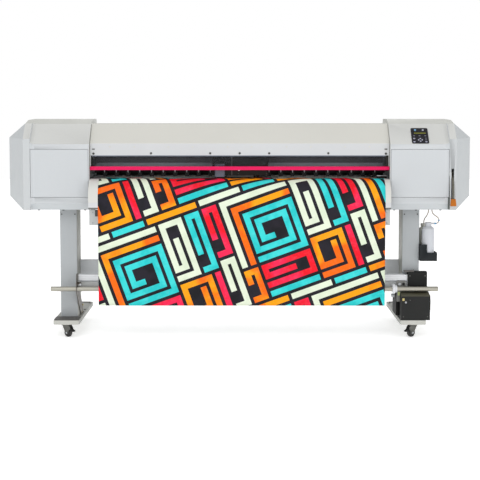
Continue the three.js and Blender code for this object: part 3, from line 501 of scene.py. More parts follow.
MATERIALS["floor"] = surface("floor", (250, 250, 250), 0.75, mottle=0.006, grain=0.05, grain_scale=60, wear=0)
floor_shader = MATERIALS["floor"].node_tree.nodes["Principled BSDF"]
floor_shader.inputs["Emission Color"].default_value = (1, 1, 1, 1)
floor_shader.inputs["Emission Strength"].default_value = 0.42
make_floor()
area_light("key", (-1.6, -4.2, 4.2), (0, 0, 0.8), (3.5, 2.5), 52)
area_light("fill", (3.2, -4.0, 2.6), (0, 0, 0.7), (3.0, 3.0), 24)
area_light("back", (0.0, 3.5, 3.6), (0, 0, 0.9), (4.0, 2.0), 40)


def make_world():
    """Soft white light all round, and a plain white background behind the floor."""
    world = bpy.data.worlds.new("studio")
    world.use_nodes = True
    tree = world.node_tree
    lighting = tree.nodes["Background"]
    lighting.inputs["Color"].default_value = (1, 1, 1, 1)
    lighting.inputs["Strength"].default_value = 0.74
    backdrop = tree.nodes.new("ShaderNodeBackground")
    backdrop.inputs["Color"].default_value = (1, 1, 1, 1)
    backdrop.inputs["Strength"].default_value = 1.0
    seen = tree.nodes.new("ShaderNodeLightPath")
    blend = tree.nodes.new("ShaderNodeMixShader")
    tree.links.new(seen.outputs["Is Camera Ray"], blend.inputs["Fac"])
    tree.links.new(lighting.outputs["Background"], blend.inputs[1])
    tree.links.new(backdrop.outputs["Background"], blend.inputs[2])
    tree.links.new(blend.outputs["Shader"], tree.nodes["World Output"].inputs["Surface"])
    bpy.context.scene.world = world


make_world()
bpy.context.scene.view_settings.view_transform = "Standard"

# ---------- Covers ----------
def paint(bm, rules):
    """Gives each face the first material whose rule holds for its centre and normal; the last is the default."""
    for face in bm.faces:
        centre, normal = face.calc_center_median(), face.normal
        face.material_index = next((i for i, rule in rules if rule(centre, normal)), 0)


def cover_paint(bm):
    bm.normal_update()
    # Each face takes a lit or shaded copy of the cover grey by its facing: painted light on upward slopes, painted
    # shade on ridge tops, inner walls, sideways faces, the low chamfer, the underside and the outer end frame.
    paint(bm, [
        (4, lambda c, n: n.z > 0.25 and c.z > 1.222),
        (4, lambda c, n: n.x * (1 if c.x < 0 else -1) > 0.7 and abs(c.x) < 0.9),
        (5, lambda c, n: abs(n.x) > 0.35 and n.y < -0.1),
        (1, lambda c, n: n.z > 0.25),
        (2, lambda c, n: n.z < -0.2 and n.y < -0.1),
        (3, lambda c, n: n.z < -0.6),
        (5, lambda c, n: abs(c.x) > 1.19),
    ])


def centre_paint(bm):
    bm.normal_update()
    # Painted light and shade by facing: upward slopes take a warm lit copy of the grey, flat tops the ridge's darker
    # shaded copy.
    paint(bm, [(2, lambda c, n: n.z > 0.9), (1, lambda c, n: n.z > 0.25)])


def apron_paint(bm):
    bm.normal_update()
    strip_top = 0.781
    cuts = bmesh.ops.bisect_plane(bm, geom=bm.verts[:] + bm.edges[:] + bm.faces[:], dist=1e-6,
                                  plane_co=(0, 0, strip_top), plane_no=(0, 0, 1))
    assert cuts["geom_cut"]
    bm.normal_update()
    paint(bm, [
        # Downward faces low on the apron take a dark painted shade.
        (2, lambda c, n: n.z < -0.3 and c.z < 0.76),
        (1, lambda c, n: c.z < strip_top),
    ])


# The cover's own grey with its lit and shaded copies: painted light and painted shade by facing.
COVER_GREYS_LIT_AND_SHADED = ["cover_grey", "cover_slope_painted_light", "cover_low_painted_shade", "cover_under_painted_shade", "cover_ridge_painted_shade", "cover_cheek_painted_shade"]
for side in ("left", "right"):
    refine(f"{side}_end_cover", crease=0.005, rim=0.0012, low=10, material=COVER_GREYS_LIT_AND_SHADED, detail=cover_paint)
    refine(f"{side}_front_door", rim=0.0015)
    # The feet's front faces take a paler copy of their grey: painted light.
    refine(f"{side}_foot", rim=0.0015, material=["foot_grey", "foot_front_painted_light"],
           detail=lambda bm: paint(bm, [(1, lambda c, n: n.y < -0.5)]))
    refine(f"{side}_post", rim=0.0, material=["stand_grey", "stand_shade"],
           detail=lambda bm: paint(bm, [(1, lambda c, n: n.x * (1 if c.x < 0 else -1) > 0.7)]))
    refine(f"{side}_brake_pedal", crease=0.0008, rim=0.0008, shortest=0.004)
    for end in ("front", "rear"):
        refine(f"{side}_{end}_fork", crease=0.0006, rim=0.0006, shortest=0.004, material="dark_steel")
        refine(f"{side}_{end}_wheel", rim=0)
refine("front_cover", crease=0.004, rim=0.0008, low=10, material=["cover_band", "cover_warm", "cover_ridge_painted_shade"],
       detail=centre_paint)
refine("top_cover", crease=0.006, rim=0.0008, low=10, material=["cover_warm", "cover_slope_painted_light", "cover_ridge_painted_shade"],
       detail=centre_paint)
refine("apron", rim=0.0006, material=["apron_white", "cover_band", "cover_under_painted_shade"], detail=apron_paint)
for node in ("platen", "rear_guide"):
    refine(node, rim=0.0006)
# The stretcher takes a paler copy of the stand grey: painted light.
refine("lower_stretcher", rim=0.0005, material="stretcher_grey_painted_light")
for node in ("chassis", "roll_cradle", "carriage_rail", "belt_motor", "bottle_tray",
             "power_inlet", "front_window", "capping_station", "takeup_bracket", "pinch_roller_bar",
             "panel_display"):
    refine(node, rim=0.0005)
for node in ("carriage", "load_lever", "lever_grip", "carriage_cap", "front_cover_bar"):
    refine(node, crease=0.0015, rim=0.0018, shortest=0.005)
# The drive housing's upward front faces take an olive lit copy of its black: painted light.
refine("takeup_drive", crease=0.0015, rim=0.0018, shortest=0.005, material=["black_plastic", "drive_top_painted_light"],
       detail=lambda bm: paint(bm, [(1, lambda c, n: n.z > 0.9 and c.y < FRONT + 0.12)]))
# The rail's lower part takes a darker grey than its upper part: painted shade.
refine("takeup_rail", crease=0.0015, rim=0.0012, shortest=0.005, material=["aluminium", "rail_grey"],
       detail=lambda bm: paint(bm, [(1, lambda c, n: c.z < 0.312)]))
refine("print_head", rim=0.0005, material="dark_steel")
refine("control_panel", rim=0.0004, material="panel_face")
refine("arrow_pad", rim=0.0004, material="panel_face")
for node in ("menu_button", "power_button", "tension_bar", "tension_collar", "media_roll", "takeup_hub",
             "drive_pulley", "idler_pulley", "grit_roller", "drive_belt", "front_waste_bottle",
             "rear_waste_bottle"):
    refine(node, rim=0.0004)


def fillet_strip(name, side, line, body, width=22, height=3.6, past=1.4):
    """A hollow-curved strip along a section line, where a cover's face sweeps up to the proud outer frame."""
    bm = bmesh.new()
    steps = 6
    rows = []
    outer = edges_mm("right_front_door")[1] + past
    for (depth, z), (back, up) in line:
        row = []
        for i in range(steps + 1):
            share = i / steps
            lift = height * share ** 2.4
            row.append(bm.verts.new(at(side * (outer - width * (1 - share)), depth - back * (lift + 0.15),
                                       z + up * (lift + 0.15))))
        row.append(bm.verts.new(at(side * outer, depth + back * 1.2, z - up * 1.2)))
        row.append(bm.verts.new(at(side * (outer - width), depth + back * 1.2, z - up * 1.2)))
        rows.append(row)
    for row, following in zip(rows, rows[1:]):
        for i in range(len(row)):
            j = (i + 1) % len(row)
            bm.faces.new((row[i], row[j], following[j], following[i]))
    bm.faces.new(rows[0][::-1])
    bm.faces.new(rows[-1])
    names = ["cover_grey", "cover_slope_painted_light", "cover_low_painted_shade"]
    bm.normal_update()
    bmesh.ops.recalc_face_normals(bm, faces=bm.faces)
    # The upper end takes the slopes' painted light and the lower end the low chamfer's painted shade.
    paint(bm, [(1, lambda c, n: c.z > 1.112), (2, lambda c, n: c.z < 0.768)])
    return piece(name, bm, names, body, sharp=50)


FRONT_FACE = (1, 0)                 # the way a face looks, as (forward, up)
SLOPE_FACE = (0.717, 0.697)
LOW_FACE = (0.86, -0.51)
_, _, _, _, door_bottom, door_top = edges_mm("right_front_door")
for side, name in ((-1, "left"), (1, "right")):
    fillet_strip(f"{name}_upper_fillet", side,
                 [((68, door_top + 2), FRONT_FACE), ((68, 1106), FRONT_FACE), ((71, 1111), SLOPE_FACE),
                  ((176, 1219), SLOPE_FACE)], ROOT)
    fillet_strip(f"{name}_lower_fillet", side,
                 [((68, door_bottom - 2), FRONT_FACE), ((68, 772), FRONT_FACE), ((69, 768), LOW_FACE),
                  ((86, 738), LOW_FACE)], ROOT)
    fillet_strip(f"{name}_door_fillet", side,
                 [((68, door_bottom + 0.6), FRONT_FACE), ((68, door_top - 0.6), FRONT_FACE)], f"{name}_door",
                 height=1.2, past=-0.2)


# ---------- Screws, feet and small fittings ----------
def add_screw(bm, place, normal, radius, drive=True):
    """A low domed head with a hexagonal recess."""
    head = [(0, -0.0004), (radius, -0.0004), (radius, radius * 0.18), (radius * 0.86, radius * 0.36),
            (radius * 0.52, radius * 0.42)]
    if drive:
        head += [(radius * 0.46, radius * 0.12), (0, radius * 0.08)]
    else:
        head += [(0, radius * 0.46)]
    add_lathe(bm, head, facing(place, normal), 18)


def screws(name, places, normal, radius, material, body):
    bm = bmesh.new()
    for place in places:
        add_screw(bm, place, normal, radius)
    return piece(name, bm, material, body, sharp=30)


def blocks(name, boxes, material, body, bevel=0.0012):
    """Rounded blocks, each (x0, x1, depth0, depth1, z0, z1) in millimetres, as one piece."""
    bm = bmesh.new()
    for x0, x1, d0, d1, z0, z1 in boxes:
        add_box(bm, at(x0, d0, z0), at(x1, d1, z1))
    bevel_edges(bm, bevel, 2, 60, 120)
    made = piece(name, bm, material, body)
    smooth_flats(made)
    return made


COVER = "front_cover_body"
_, _, band_face, _, _, _ = edges_mm("front_cover")
band_z = 1055
screws("band_screws", [at(x, band_face, band_z) for x in (-505, -168, 0, 168, 505)], (0, -1, 0), 0.0064,
       "screw_dark", COVER)
screws("band_end_screws", [at(side * 833, band_face, 1053) for side in (-1, 1)], (0, -1, 0), 0.0068,
       "screw_dark", COVER)
blocks("band_end_catches", [(side * 833 - 8, side * 833 + 8, band_face - 1.2, band_face + 2, 1075, 1082)
                            for side in (-1, 1)], "screw_dark", COVER)
# The plugs take the warm lit copy of the cover grey: painted light.
screws("band_plugs", [at(x, band_face, 1092) for x in (-740, -600, -405, -268, -68, 68, 268, 405, 600, 740)],
       (0, -1, 0), 0.0042, "cover_warm", COVER)

# The rib takes the ridge's darker copy of the cover grey: painted shade.
blocks("hood_rib", [(-850, 850, 199, 203.5, 1214, 1224.5)], "cover_ridge_painted_shade", COVER, 0.0008)
_, _, pane_front, _, _, _ = edges_mm("front_window")
blocks("window_end_blocks", [(side * 846 - 14, side * 846 + 4, pane_front - 3.6, pane_front - 0.2, 982, 1042)
                             for side in (-1, 1)], "casing_dark", COVER, 0.0008)
blocks("window_ledges", [(-847, 847, pane_front - 3.4, pane_front - 0.2, 1038, 1042.6)], "window_strip", COVER, 0.0006)

# The casing's dark inside: a wall behind the pinch rollers.
# The wall's near-black stands in for the shade inside the casing: painted shade.
blocks("casing_back_wall", [(-850, 850, 371.5, 373.5, 914, 1060)], "casing_dark", ROOT, 0.0005)


def pinch_fittings():
    """Spring clips and pale cams above the pinch rollers; the cams' pale colour is partly a painted highlight."""
    low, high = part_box("pinch_roller_bar")
    count, spacing = 24, 69
    clips, cams = bmesh.new(), bmesh.new()
    for i in range(count):
        x = (i - (count - 1) / 2) * spacing
        add_box(clips, at(x - 13, 301, 934.5), at(x + 13, 345, 940))
        add_box(clips, at(x - 4, 296, 934), at(x + 4, 302, 955))
        add_lathe(cams, [(0, 0), (0.0034, 0), (0.0040, 0.0012), (0.0040, 0.006), (0, 0.006)],
                  facing(at(x, 296, 944), (0, -1, 0)), 14)
        add_box(cams, at(x - 1.6, 292, 934), at(x + 1.6, 296, 943))
    bevel_edges(clips, 0.0008, 2, 60, 120)
    piece("pinch_clips", clips, "casing_dark", "pinch_rollers")
    piece("pinch_cams_painted_highlight", cams, "collar_white", "pinch_rollers")


pinch_fittings()


def carriage_fittings():
    x0, x1, front, back, bottom, top = edges_mm("carriage")
    body = "carriage_body"
    blocks("carriage_face_rib", [(-48, -42, front - 2.0, front + 1, bottom + 3, 1062)], "dark_grey_plastic", body)
    blocks("carriage_panels", [(-38, x1 - 5, front - 1.4, front + 1, bottom + 4, 1060),
                               (x0 + 3, -52, front - 1.0, front + 1, bottom + 4, 1060)], "casing_dark", body, 0.001)
    bm = bmesh.new()
    add_lathe(bm, [(0, 0), (0.0052, 0), (0.0058, 0.001), (0.0058, 0.004), (0.003, 0.0052), (0, 0.0052)],
              facing(at(-4, front, 957), (0, -1, 0)), 20)
    piece("carriage_lock_knob", bm, "collar_white", body)
    screws("carriage_screws", [at(x, front - 1.2, z) for x in (-8, 154) for z in (936, 1052)], (0, -1, 0), 0.003,
           "screw_dark", body)


carriage_fittings()
blocks("platen_end_clip", [(788, 846, 148, 158, 909, 912), (788, 846, 156, 158, 911.5, 928)], "casing_dark", ROOT,
       0.0006)
blocks("platen_clip_edge", [(790, 812, 154.2, 156, 921, 926.5)], "collar_white", ROOT, 0.0005)
blocks("platen_clip_spring", [(814, 844, 154.6, 156, 921.5, 925.5)], "rail_grey", ROOT, 0.0005)


def foot_fittings(name, side):
    x0, x1, front, back, bottom, top = edges_mm(f"{name}_foot")
    _, _, post_front, post_back, _, _ = edges_mm(f"{name}_post")
    bm = bmesh.new()
    plate = rounded((x1 - x0 - 6) / 1000, 0.098, 0.012)
    add_prism(bm, plate, Matrix.Translation(at((x0 + x1) / 2, front + 54, top)), 0.005)
    bevel_edges(bm, 0.0012, 2, 60, 120)
    if side < 0:
        piece(f"{name}_foot_plate", bm, "foot_plate", ROOT)
        screws(f"{name}_plate_bolts", [at((x0 + x1) / 2 + dx, front + 40, top + 5) for dx in (-40, 40)], (0, 0, 1),
               0.0065, "dark_steel", ROOT)
    else:
        bm.free()
    inner = -side
    edge = x1 if inner > 0 else x0
    bolts = [at(edge - inner * 14, depth, top) for depth in (330, 410, 640)]
    screws(f"{name}_foot_bolts", bolts, (0, 0, 1), 0.007, "screw_dark", ROOT)
    caps = bmesh.new()
    for depth in (back - 18,):
        add_prism(caps, rounded(0.12, 0.022, 0.005), Matrix.Translation(at((x0 + x1) / 2, depth, top)), 0.002)
    bevel_edges(caps, 0.0006, 2, 60, 120)
    piece(f"{name}_foot_end_cap", caps, "black_plastic", ROOT)
    px0, px1, _, _, _, post_top = edges_mm(f"{name}_post")
    flange = [(px0 - 8, px1 + 8, post_front - 10, post_back + 10, post_top - 4, post_top)]
    blocks(f"{name}_post_flange", flange, "stand_grey", ROOT)
    screws(f"{name}_flange_bolts", [at(px0 + 12 + 76 * i, post_front, 700) for i in range(2)], (0, -1, 0), 0.004,
           "screw_dark", ROOT)
    for end in ("front", "rear"):
        race = bmesh.new()
        place = Vector(JOINTS[f"{name}_{end}_swivel"]["pos_m"]) + Vector((0, 0, 0.0003))
        section = [(0.012, 0), (0.021, 0), (0.0225, 0.0010), (0.0225, 0.0040), (0.021, 0.0049), (0.012, 0.0049)]
        add_ring(race, section, Matrix.Translation(place), 28)
        piece(f"{name}_{end}_swivel_race", race, "steel", ROOT)


def caster_fittings(name, end):
    """Wheel hubs with a dished face and axle nuts."""
    body = f"{name}_{end}_roller"
    low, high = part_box(f"{name}_{end}_wheel")
    centre = (Vector(low) + Vector(high)) / 2
    axis = Vector(JOINTS[f"{name}_{end}_wheel_spin"]["axis"]).normalized()
    bm = bmesh.new()
    for turn in (1, -1):
        place = facing(centre + axis * turn * 0.0098, axis * turn)
        add_lathe(bm, [(0.0052, -0.0006), (0.0165, -0.0006), (0.0175, 0.0004), (0.0165, 0.0007), (0.0105, -0.0002),
                       (0.0085, 0.0007), (0.0052, 0.0007)], place, 28)
    piece(f"{name}_{end}_wheel_hub", bm, "dark_grey_plastic", body)
    nuts = bmesh.new()
    for turn in (1, -1):
        add_lathe(nuts, [(0, 0.0005), (0.0062, 0.0005), (0.0062, 0.0034), (0.005, 0.0042), (0, 0.0042)],
                  facing(centre + axis * turn * 0.0138, axis * turn), 6)
    piece(f"{name}_{end}_axle_nuts", nuts, "steel", f"{name}_{end}_caster")


for side, name in ((-1, "left"), (1, "right")):
    foot_fittings(name, side)
    for end in ("front", "rear"):
        caster_fittings(name, end)

# ---------- The hanging print ----------
BAND_PITCH = 52.0       # of the pattern's lattice, in millimetres
BAND_WIDTH = 33.0
BAND_TURN = math.radians(20)
PRINT_END_DEPTH = 205   # the sheet is blank behind this
TILE_COLUMNS, TILE_ROWS, TILE_SHIFT = 15, 13, 6
INKS = ["ink_black", "ink_cyan", "ink_orange", "ink_cream", "ink_red", "media_white"]
BLACK, CYAN, ORANGE, CREAM, RED, BLANK = range(6)


def ink(name, first, second, scale=9.0, speckle=0.05):
    """Ink on banner cloth: two shades that run softly into each other, over a fine weave."""
    nodes = Nodes(name)
    patches = nodes.remap(nodes.noise(scale, 3.0), 0.44, 0.58, 0, 1)
    washed = nodes.mix(patches, linear(first), linear(second))
    paler = nodes.mix(nodes.remap(nodes.noise(60, 4.0), 0.5, 0.75, 0, speckle), washed, (0.9, 0.9, 0.88))
    nodes.link(paler, nodes.shader.inputs["Base Color"])
    nodes.link(nodes.remap(nodes.noise(25), 0.3, 0.7, 0.42, 0.58), nodes.shader.inputs["Roughness"])
    threads = [nodes.noise(520, 2.0, stretch) for stretch in ((1, 1, 0.08), (0.08, 1, 1))]
    woven = nodes.add("ShaderNodeMath", operation="ADD")
    nodes.link(threads[0], woven.inputs[0])
    nodes.link(threads[1], woven.inputs[1])
    nodes.bump(woven.outputs["Value"], 0.18, 0.0004)
    nodes.set(Specular_IOR_Level=0.2)
    return nodes.material


MATERIALS["ink_black"] = ink("ink_black", (33, 30, 40), (20, 20, 26), speckle=0.0)
MATERIALS["ink_cyan"] = ink("ink_cyan", (56, 216, 216), (34, 198, 200))
MATERIALS["ink_orange"] = ink("ink_orange", (252, 162, 0), (250, 106, 0), 6.0, 0.03)
MATERIALS["ink_cream"] = ink("ink_cream", (228, 238, 216), (218, 230, 206))
MATERIALS["ink_red"] = ink("ink_red", (250, 36, 84), (238, 14, 38), 6.0, 0.03)


def spiral(column, row, width, height, kept):
    """Lattice nodes on a rectangular spiral that winds inward and stops after the kept share of its length."""
    nodes, seen = [(column, row)], {(column, row)}
    heading = 0
    steps = ((1, 0), (0, 1), (-1, 0), (0, -1))
    turned = 0
    while turned < 2:
        dx, dy = steps[heading % 4]
        x, y = nodes[-1][0] + dx, nodes[-1][1] + dy
        if column <= x < column + width and row <= y < row + height and (x, y) not in seen:
            nodes.append((x, y))
            seen.add((x, y))
            turned = 0
        else:
            heading += 1
            turned += 1
    return nodes[:max(2, round(len(nodes) * kept))]


def straight(*corners):
    """Lattice nodes along straight runs between the corners."""
    nodes = [corners[0]]
    for (ax, ay), (bx, by) in zip(corners, corners[1:]):
        count = max(abs(bx - ax), abs(by - ay))
        nodes += [(ax + (bx - ax) * i // count, ay + (by - ay) * i // count) for i in range(1, count + 1)]
    return nodes


TILE_PATHS = [
    (CYAN, spiral(4, 4, 6, 6, 0.92)),
    (ORANGE, straight((3, 4), (3, 10), (9, 10))),
    (CREAM, straight((2, 4), (2, 11), (9, 11))),
    (CREAM, spiral(10, 5, 3, 7, 0.95)),
    (RED, spiral(0, 6, 2, 6, 0.92)),
    (CREAM, spiral(0, 0, 2, 6, 0.92)),
    (RED, spiral(4, 1, 6, 3, 0.95)),
    (ORANGE, spiral(2, 0, 2, 4, 0.88)),
    (CYAN, straight((4, 0), (9, 0))),
    (ORANGE, spiral(10, 0, 4, 5, 0.9)),
    (RED, straight((14, 0), (14, 4))),
    (CYAN, spiral(13, 5, 2, 7, 0.93)),
    (CREAM, straight((0, 12), (4, 12))),
    (CYAN, straight((5, 12), (8, 12))),
    (ORANGE, straight((9, 12), (14, 12))),
]
TILE_NODES = {node: ink_index for ink_index, path in TILE_PATHS for node in path}
TILE_LINKS = {frozenset(pair) for _, path in TILE_PATHS for pair in zip(path, path[1:])}


def in_tile(column, row):
    tile_row = row // TILE_ROWS
    return (column + TILE_SHIFT * tile_row) % TILE_COLUMNS, row % TILE_ROWS


def pattern_ink(x, t):
    """The ink at a place on the flat sheet, x across and t up from its lower edge."""
    across = x * math.cos(BAND_TURN) + t * math.sin(BAND_TURN)
    up = -x * math.sin(BAND_TURN) + t * math.cos(BAND_TURN)
    half = BAND_WIDTH / 2
    column, row = math.floor((across + half) / BAND_PITCH), math.floor((up + half) / BAND_PITCH)
    beside = across - column * BAND_PITCH > half
    above = up - row * BAND_PITCH > half
    here = in_tile(column, row)
    if here not in TILE_NODES or (beside and above):
        return BLACK
    if beside or above:
        neighbour = in_tile(column + 1, row) if beside else in_tile(column, row + 1)
        if frozenset((here, neighbour)) not in TILE_LINKS:
            return BLACK
    return TILE_NODES[here]


def sheet_path():
    """The sheet's line in (depth, z), from its hanging edge over the apron and the guide to the roll."""
    _, _, _, _, bottom, _ = edges_mm("printed_media")
    _, _, roll_front, roll_back, roll_bottom, roll_top = edges_mm("media_roll")
    apron_centre, apron_reach = (93.0, 805.0), (93.0, 104.9)
    guide_centre, guide_radius, guide_turn = (560.0, 809.0), 100.9, 50.0
    roll_centre = ((roll_front + roll_back) / 2, (roll_bottom + roll_top) / 2)
    roll_radius = (roll_top - roll_bottom) / 2 + 0.9
    line = [(0.0, bottom + (apron_centre[1] - bottom) * i / 14) for i in range(15)]
    for i in range(1, 19):
        angle = math.radians(90 * i / 18)
        line.append((apron_centre[0] - apron_reach[0] * math.cos(angle),
                     apron_centre[1] + apron_reach[1] * math.sin(angle)))
    line += [(PRINT_END_DEPTH, line[-1][1]), (340.0, line[-1][1]), (guide_centre[0], line[-1][1])]
    for i in range(1, 9):
        angle = math.radians(guide_turn * i / 8)
        line.append((guide_centre[0] + guide_radius * math.sin(angle),
                     guide_centre[1] + guide_radius * math.cos(angle)))
    offset = (line[-1][0] - roll_centre[0], line[-1][1] - roll_centre[1])
    touch = math.atan2(offset[1], offset[0]) - math.acos(roll_radius / math.hypot(*offset))
    line.append((roll_centre[0] + roll_radius * math.cos(touch), roll_centre[1] + roll_radius * math.sin(touch)))
    return line


def cut_lines(bm, faces, point, normal):
    geometry = set(faces)
    for face in faces:
        geometry.update(face.edges)
        geometry.update(face.verts)
    bmesh.ops.bisect_plane(bm, geom=list(geometry), dist=1e-4, plane_co=point, plane_no=normal)


def hanging_print():
    """The printed sheet: cut flat along every edge of its pattern, then laid along its path."""
    x0, x1, _, _, _, _ = edges_mm("printed_media")
    line = sheet_path()
    marks = [0.0]
    for (a, b), (c, d) in zip(line, line[1:]):
        marks.append(marks[-1] + math.hypot(c - a, d - b))
    length = marks[-1]
    printed = marks[next(i for i, (depth, _) in enumerate(line) if depth == PRINT_END_DEPTH)]
    bm = bmesh.new()
    grow(bm, [(x0, 0, 0), (x1, 0, 0), (x1, length, 0), (x0, length, 0)], [(0, 1, 2, 3)])
    cut_lines(bm, bm.faces[:], (0, printed, 0), (0, 1, 0))
    reach = int((x1 - x0 + length) / BAND_PITCH) + 2
    for turn in (BAND_TURN, BAND_TURN + math.pi / 2):
        normal = Vector((math.cos(turn), math.sin(turn), 0))
        for i in range(-reach, reach):
            for side in (-1, 1):
                place = normal * (i * BAND_PITCH + side * BAND_WIDTH / 2)
                inked = [f for f in bm.faces if f.calc_center_median().y < printed]
                sides = [[normal.dot(v.co - place) > 0 for v in f.verts] for f in inked]
                crossed = [f for f, above in zip(inked, sides) if any(above) and not all(above)]
                if crossed:
                    cut_lines(bm, crossed, place, normal)
    for mark in marks[1:-1]:
        if abs(mark - printed) > 1:
            cut_lines(bm, bm.faces[:], (0, mark, 0), (0, 1, 0))
    for face in bm.faces:
        centre = face.calc_center_median()
        face.material_index = BLANK if centre.y > printed else pattern_ink(centre.x, centre.y)
    for vert in bm.verts:
        x, t = vert.co.x, vert.co.y
        i = min(len(marks) - 2, max(0, next((j for j, m in enumerate(marks) if m > t), len(marks)) - 1))
        share = (t - marks[i]) / (marks[i + 1] - marks[i])
        depth = line[i][0] + (line[i + 1][0] - line[i][0]) * share
        z = line[i][1] + (line[i + 1][1] - line[i][1]) * share
        slack = max(0.0, 1 - t / 420) ** 2
        depth += slack * (1.4 + 1.2 * math.sin(x / 150) + 0.8 * math.sin(x / 61 + 1.1))
        vert.co = at(x, depth, z)
    made = piece("hanging_print", bm, INKS, ROOT, sharp=60)
    solid = made.modifiers.new("cloth_thickness", "SOLIDIFY")
    solid.thickness = 0.0005
    solid.offset = -1
    solid.material_offset = BLANK
    solid.material_offset_rim = BLANK
    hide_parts("printed_media")


hanging_print()

# ---------- Control panel ----------
panel_low, panel_high = (Vector(corner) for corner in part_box("control_panel"))
ACROSS = Vector((1, 0, 0))
PANEL_NORMAL = -Vector(JOINTS["menu_button_press"]["axis"]).normalized()
PANEL_UP = PANEL_NORMAL.cross(ACROSS)
PANEL_FACE = 1.45           # the panel's face, from the middle of its plate
PAD_FACE = 3.15
PAD_CENTRE = (0, -35)


def panel_place(x, y, height):
    """A matrix on the panel: x across, y up the slope and height off its middle, in millimetres."""
    place = Matrix((ACROSS, PANEL_UP, PANEL_NORMAL)).transposed().to_4x4()
    middle = (panel_low + panel_high) / 2
    place.translation = middle + (ACROSS * x + PANEL_UP * y + PANEL_NORMAL * height) / 1000
    return place


def panel_keys(name, places, size, material):
    bm = bmesh.new()
    for x, y in places:
        add_prism(bm, rounded(*size, min(size) * 0.3), panel_place(x, y, PANEL_FACE), 0.0007)
    bevel_edges(bm, 0.0003, 2, 60, 120)
    piece(name, bm, material, ROOT)


def arrow_keys():
    """Four keys in a ring on the travelling pad, each pointing away from its middle."""
    bm = bmesh.new()
    arrow = [(-0.0042, -0.0036), (0.0042, -0.0036), (0.0050, 0.0004), (0.0, 0.0048), (-0.0050, 0.0004)]
    for turn in range(4):
        spin = Matrix.Rotation(math.pi / 2 * turn, 4, "Z") @ Matrix.Translation((0, 0.0104, 0))
        add_prism(bm, arrow, panel_place(*PAD_CENTRE, PAD_FACE) @ spin, 0.0007)
    bevel_edges(bm, 0.0003, 2, 60, 120)
    piece("arrow_keys", bm, "key_light", "arrow_pad_body")


panel_keys("function_keys", [(x, -2) for x in (-33, -2, 31)], (0.0110, 0.0052), "pad_grey")
panel_keys("side_keys", [(-34, -23), (-35, -48), (33, -48)], (0.0112, 0.0078), "key_light")
panel_keys("small_keys", [(33, -20), (33, -33)], (0.0090, 0.0048), "pad_grey")
arrow_keys()

# ---------- End covers ----------
# A pale strip along the lever slot's left edge: a painted highlight.
blocks("lever_slot_painted_highlight", [(1197.9, 1200.7, 60.6, 62.5, 800, 948)], "collar_white", ROOT, 0.0005)
def frame_step_painted_shadow():
    """A dark strip of painted shadow at the step left of the lever slot, widening downward; clear of the open door
    beside it.
    """
    bm = bmesh.new()
    rings = []
    for z, left, right, back in ((738, 1184, 1194.4, 68.6), (804, 1184.5, 1194.4, 68.6), (804.2, 1190, 1194.4, 63.2),
                                 (930, 1190, 1191.4, 63.2)):
        rings.append([bm.verts.new(at(x, depth, z)) for x, depth in
                      ((left, 61.2), (right, 61.2), (right, back), (left, back))])
    for ring, following in zip(rings, rings[1:]):
        for i in range(4):
            j = (i + 1) % 4
            bm.faces.new((ring[i], ring[j], following[j], following[i]))
    bm.faces.new(rings[0][::-1])
    bm.faces.new(rings[-1])
    piece("frame_step_painted_shadow", bm, "step_shade", ROOT)


frame_step_painted_shadow()
_, _, _, cover_back, _, _ = edges_mm("right_end_cover")
for side, name in ((-1, "left"), (1, "right")):
    bumpers = bmesh.new()
    for x in (885, 1010, 1150):
        add_lathe(bumpers, [(0, 0), (0.007, 0), (0.007, -0.004), (0.0055, -0.006), (0, -0.006)],
                  Matrix.Translation(at(side * x, 112, 733.2)), 18)
    piece(f"{name}_cover_bumpers", bumpers, "wheel_rubber", ROOT)
    # The louvre slots are dark blocks: painted shade for the openings.
    louvres = [(side * 915, side * 1145, cover_back - 0.4, cover_back + 0.5, z, z + 4) for z in range(985, 1086, 12)]
    blocks(f"{name}_louvres", louvres, "cover_under_painted_shade", ROOT, 0.0003)
    blocks(f"{name}_guide_plate", [(side * 804, side * 861, 100.2, 104.2, 643, 732)], "rail_grey", ROOT, 0.0014)
    blocks(f"{name}_guide_block", [(side * 804, side * 827, 92, 100.6, 694, 731)], "dark_grey_plastic", ROOT)
    screws(f"{name}_guide_screws", [at(side * 841, 100.2, z) for z in (656, 716)], (0, -1, 0), 0.004, "steel", ROOT)
_, _, _, hood_back, _, _ = edges_mm("top_cover")
screws("rear_panel_screws", [at(x, hood_back, z) for x in range(-780, 781, 260) for z in (955, 1085)], (0, 1, 0),
       0.0045, "screw_dark", ROOT)
inlet_x0, inlet_x1, _, inlet_back, inlet_z0, inlet_z1 = edges_mm("power_inlet")
inlet_x, inlet_z = (inlet_x0 + inlet_x1) / 2, (inlet_z0 + inlet_z1) / 2
blocks("inlet_pins", [(inlet_x + dx - 1.5, inlet_x + dx + 1.5, inlet_back - 9, inlet_back - 2, inlet_z + dz - 3,
                       inlet_z + dz + 3) for dx, dz in ((-8, -2), (0, 3), (8, -2))], "steel", ROOT, 0.0004)
blocks("power_switch", [(inlet_x1 + 10, inlet_x1 + 32, cover_back - 0.4, cover_back + 3, inlet_z - 14, inlet_z + 14),
                        (inlet_x1 + 14, inlet_x1 + 28, cover_back + 2, cover_back + 6, inlet_z - 9, inlet_z + 9)],
       "black_plastic", ROOT)

# ---------- Behind the window ----------
blocks("beam_upper_face", [(-850, 850, 369.6, 371.6, 989, 1059)], "beam_grey", ROOT, 0.0004)
blocks("beam_lower_face", [(-850, 850, 369.2, 371.6, 962, 988)], "beam_light", ROOT, 0.0004)


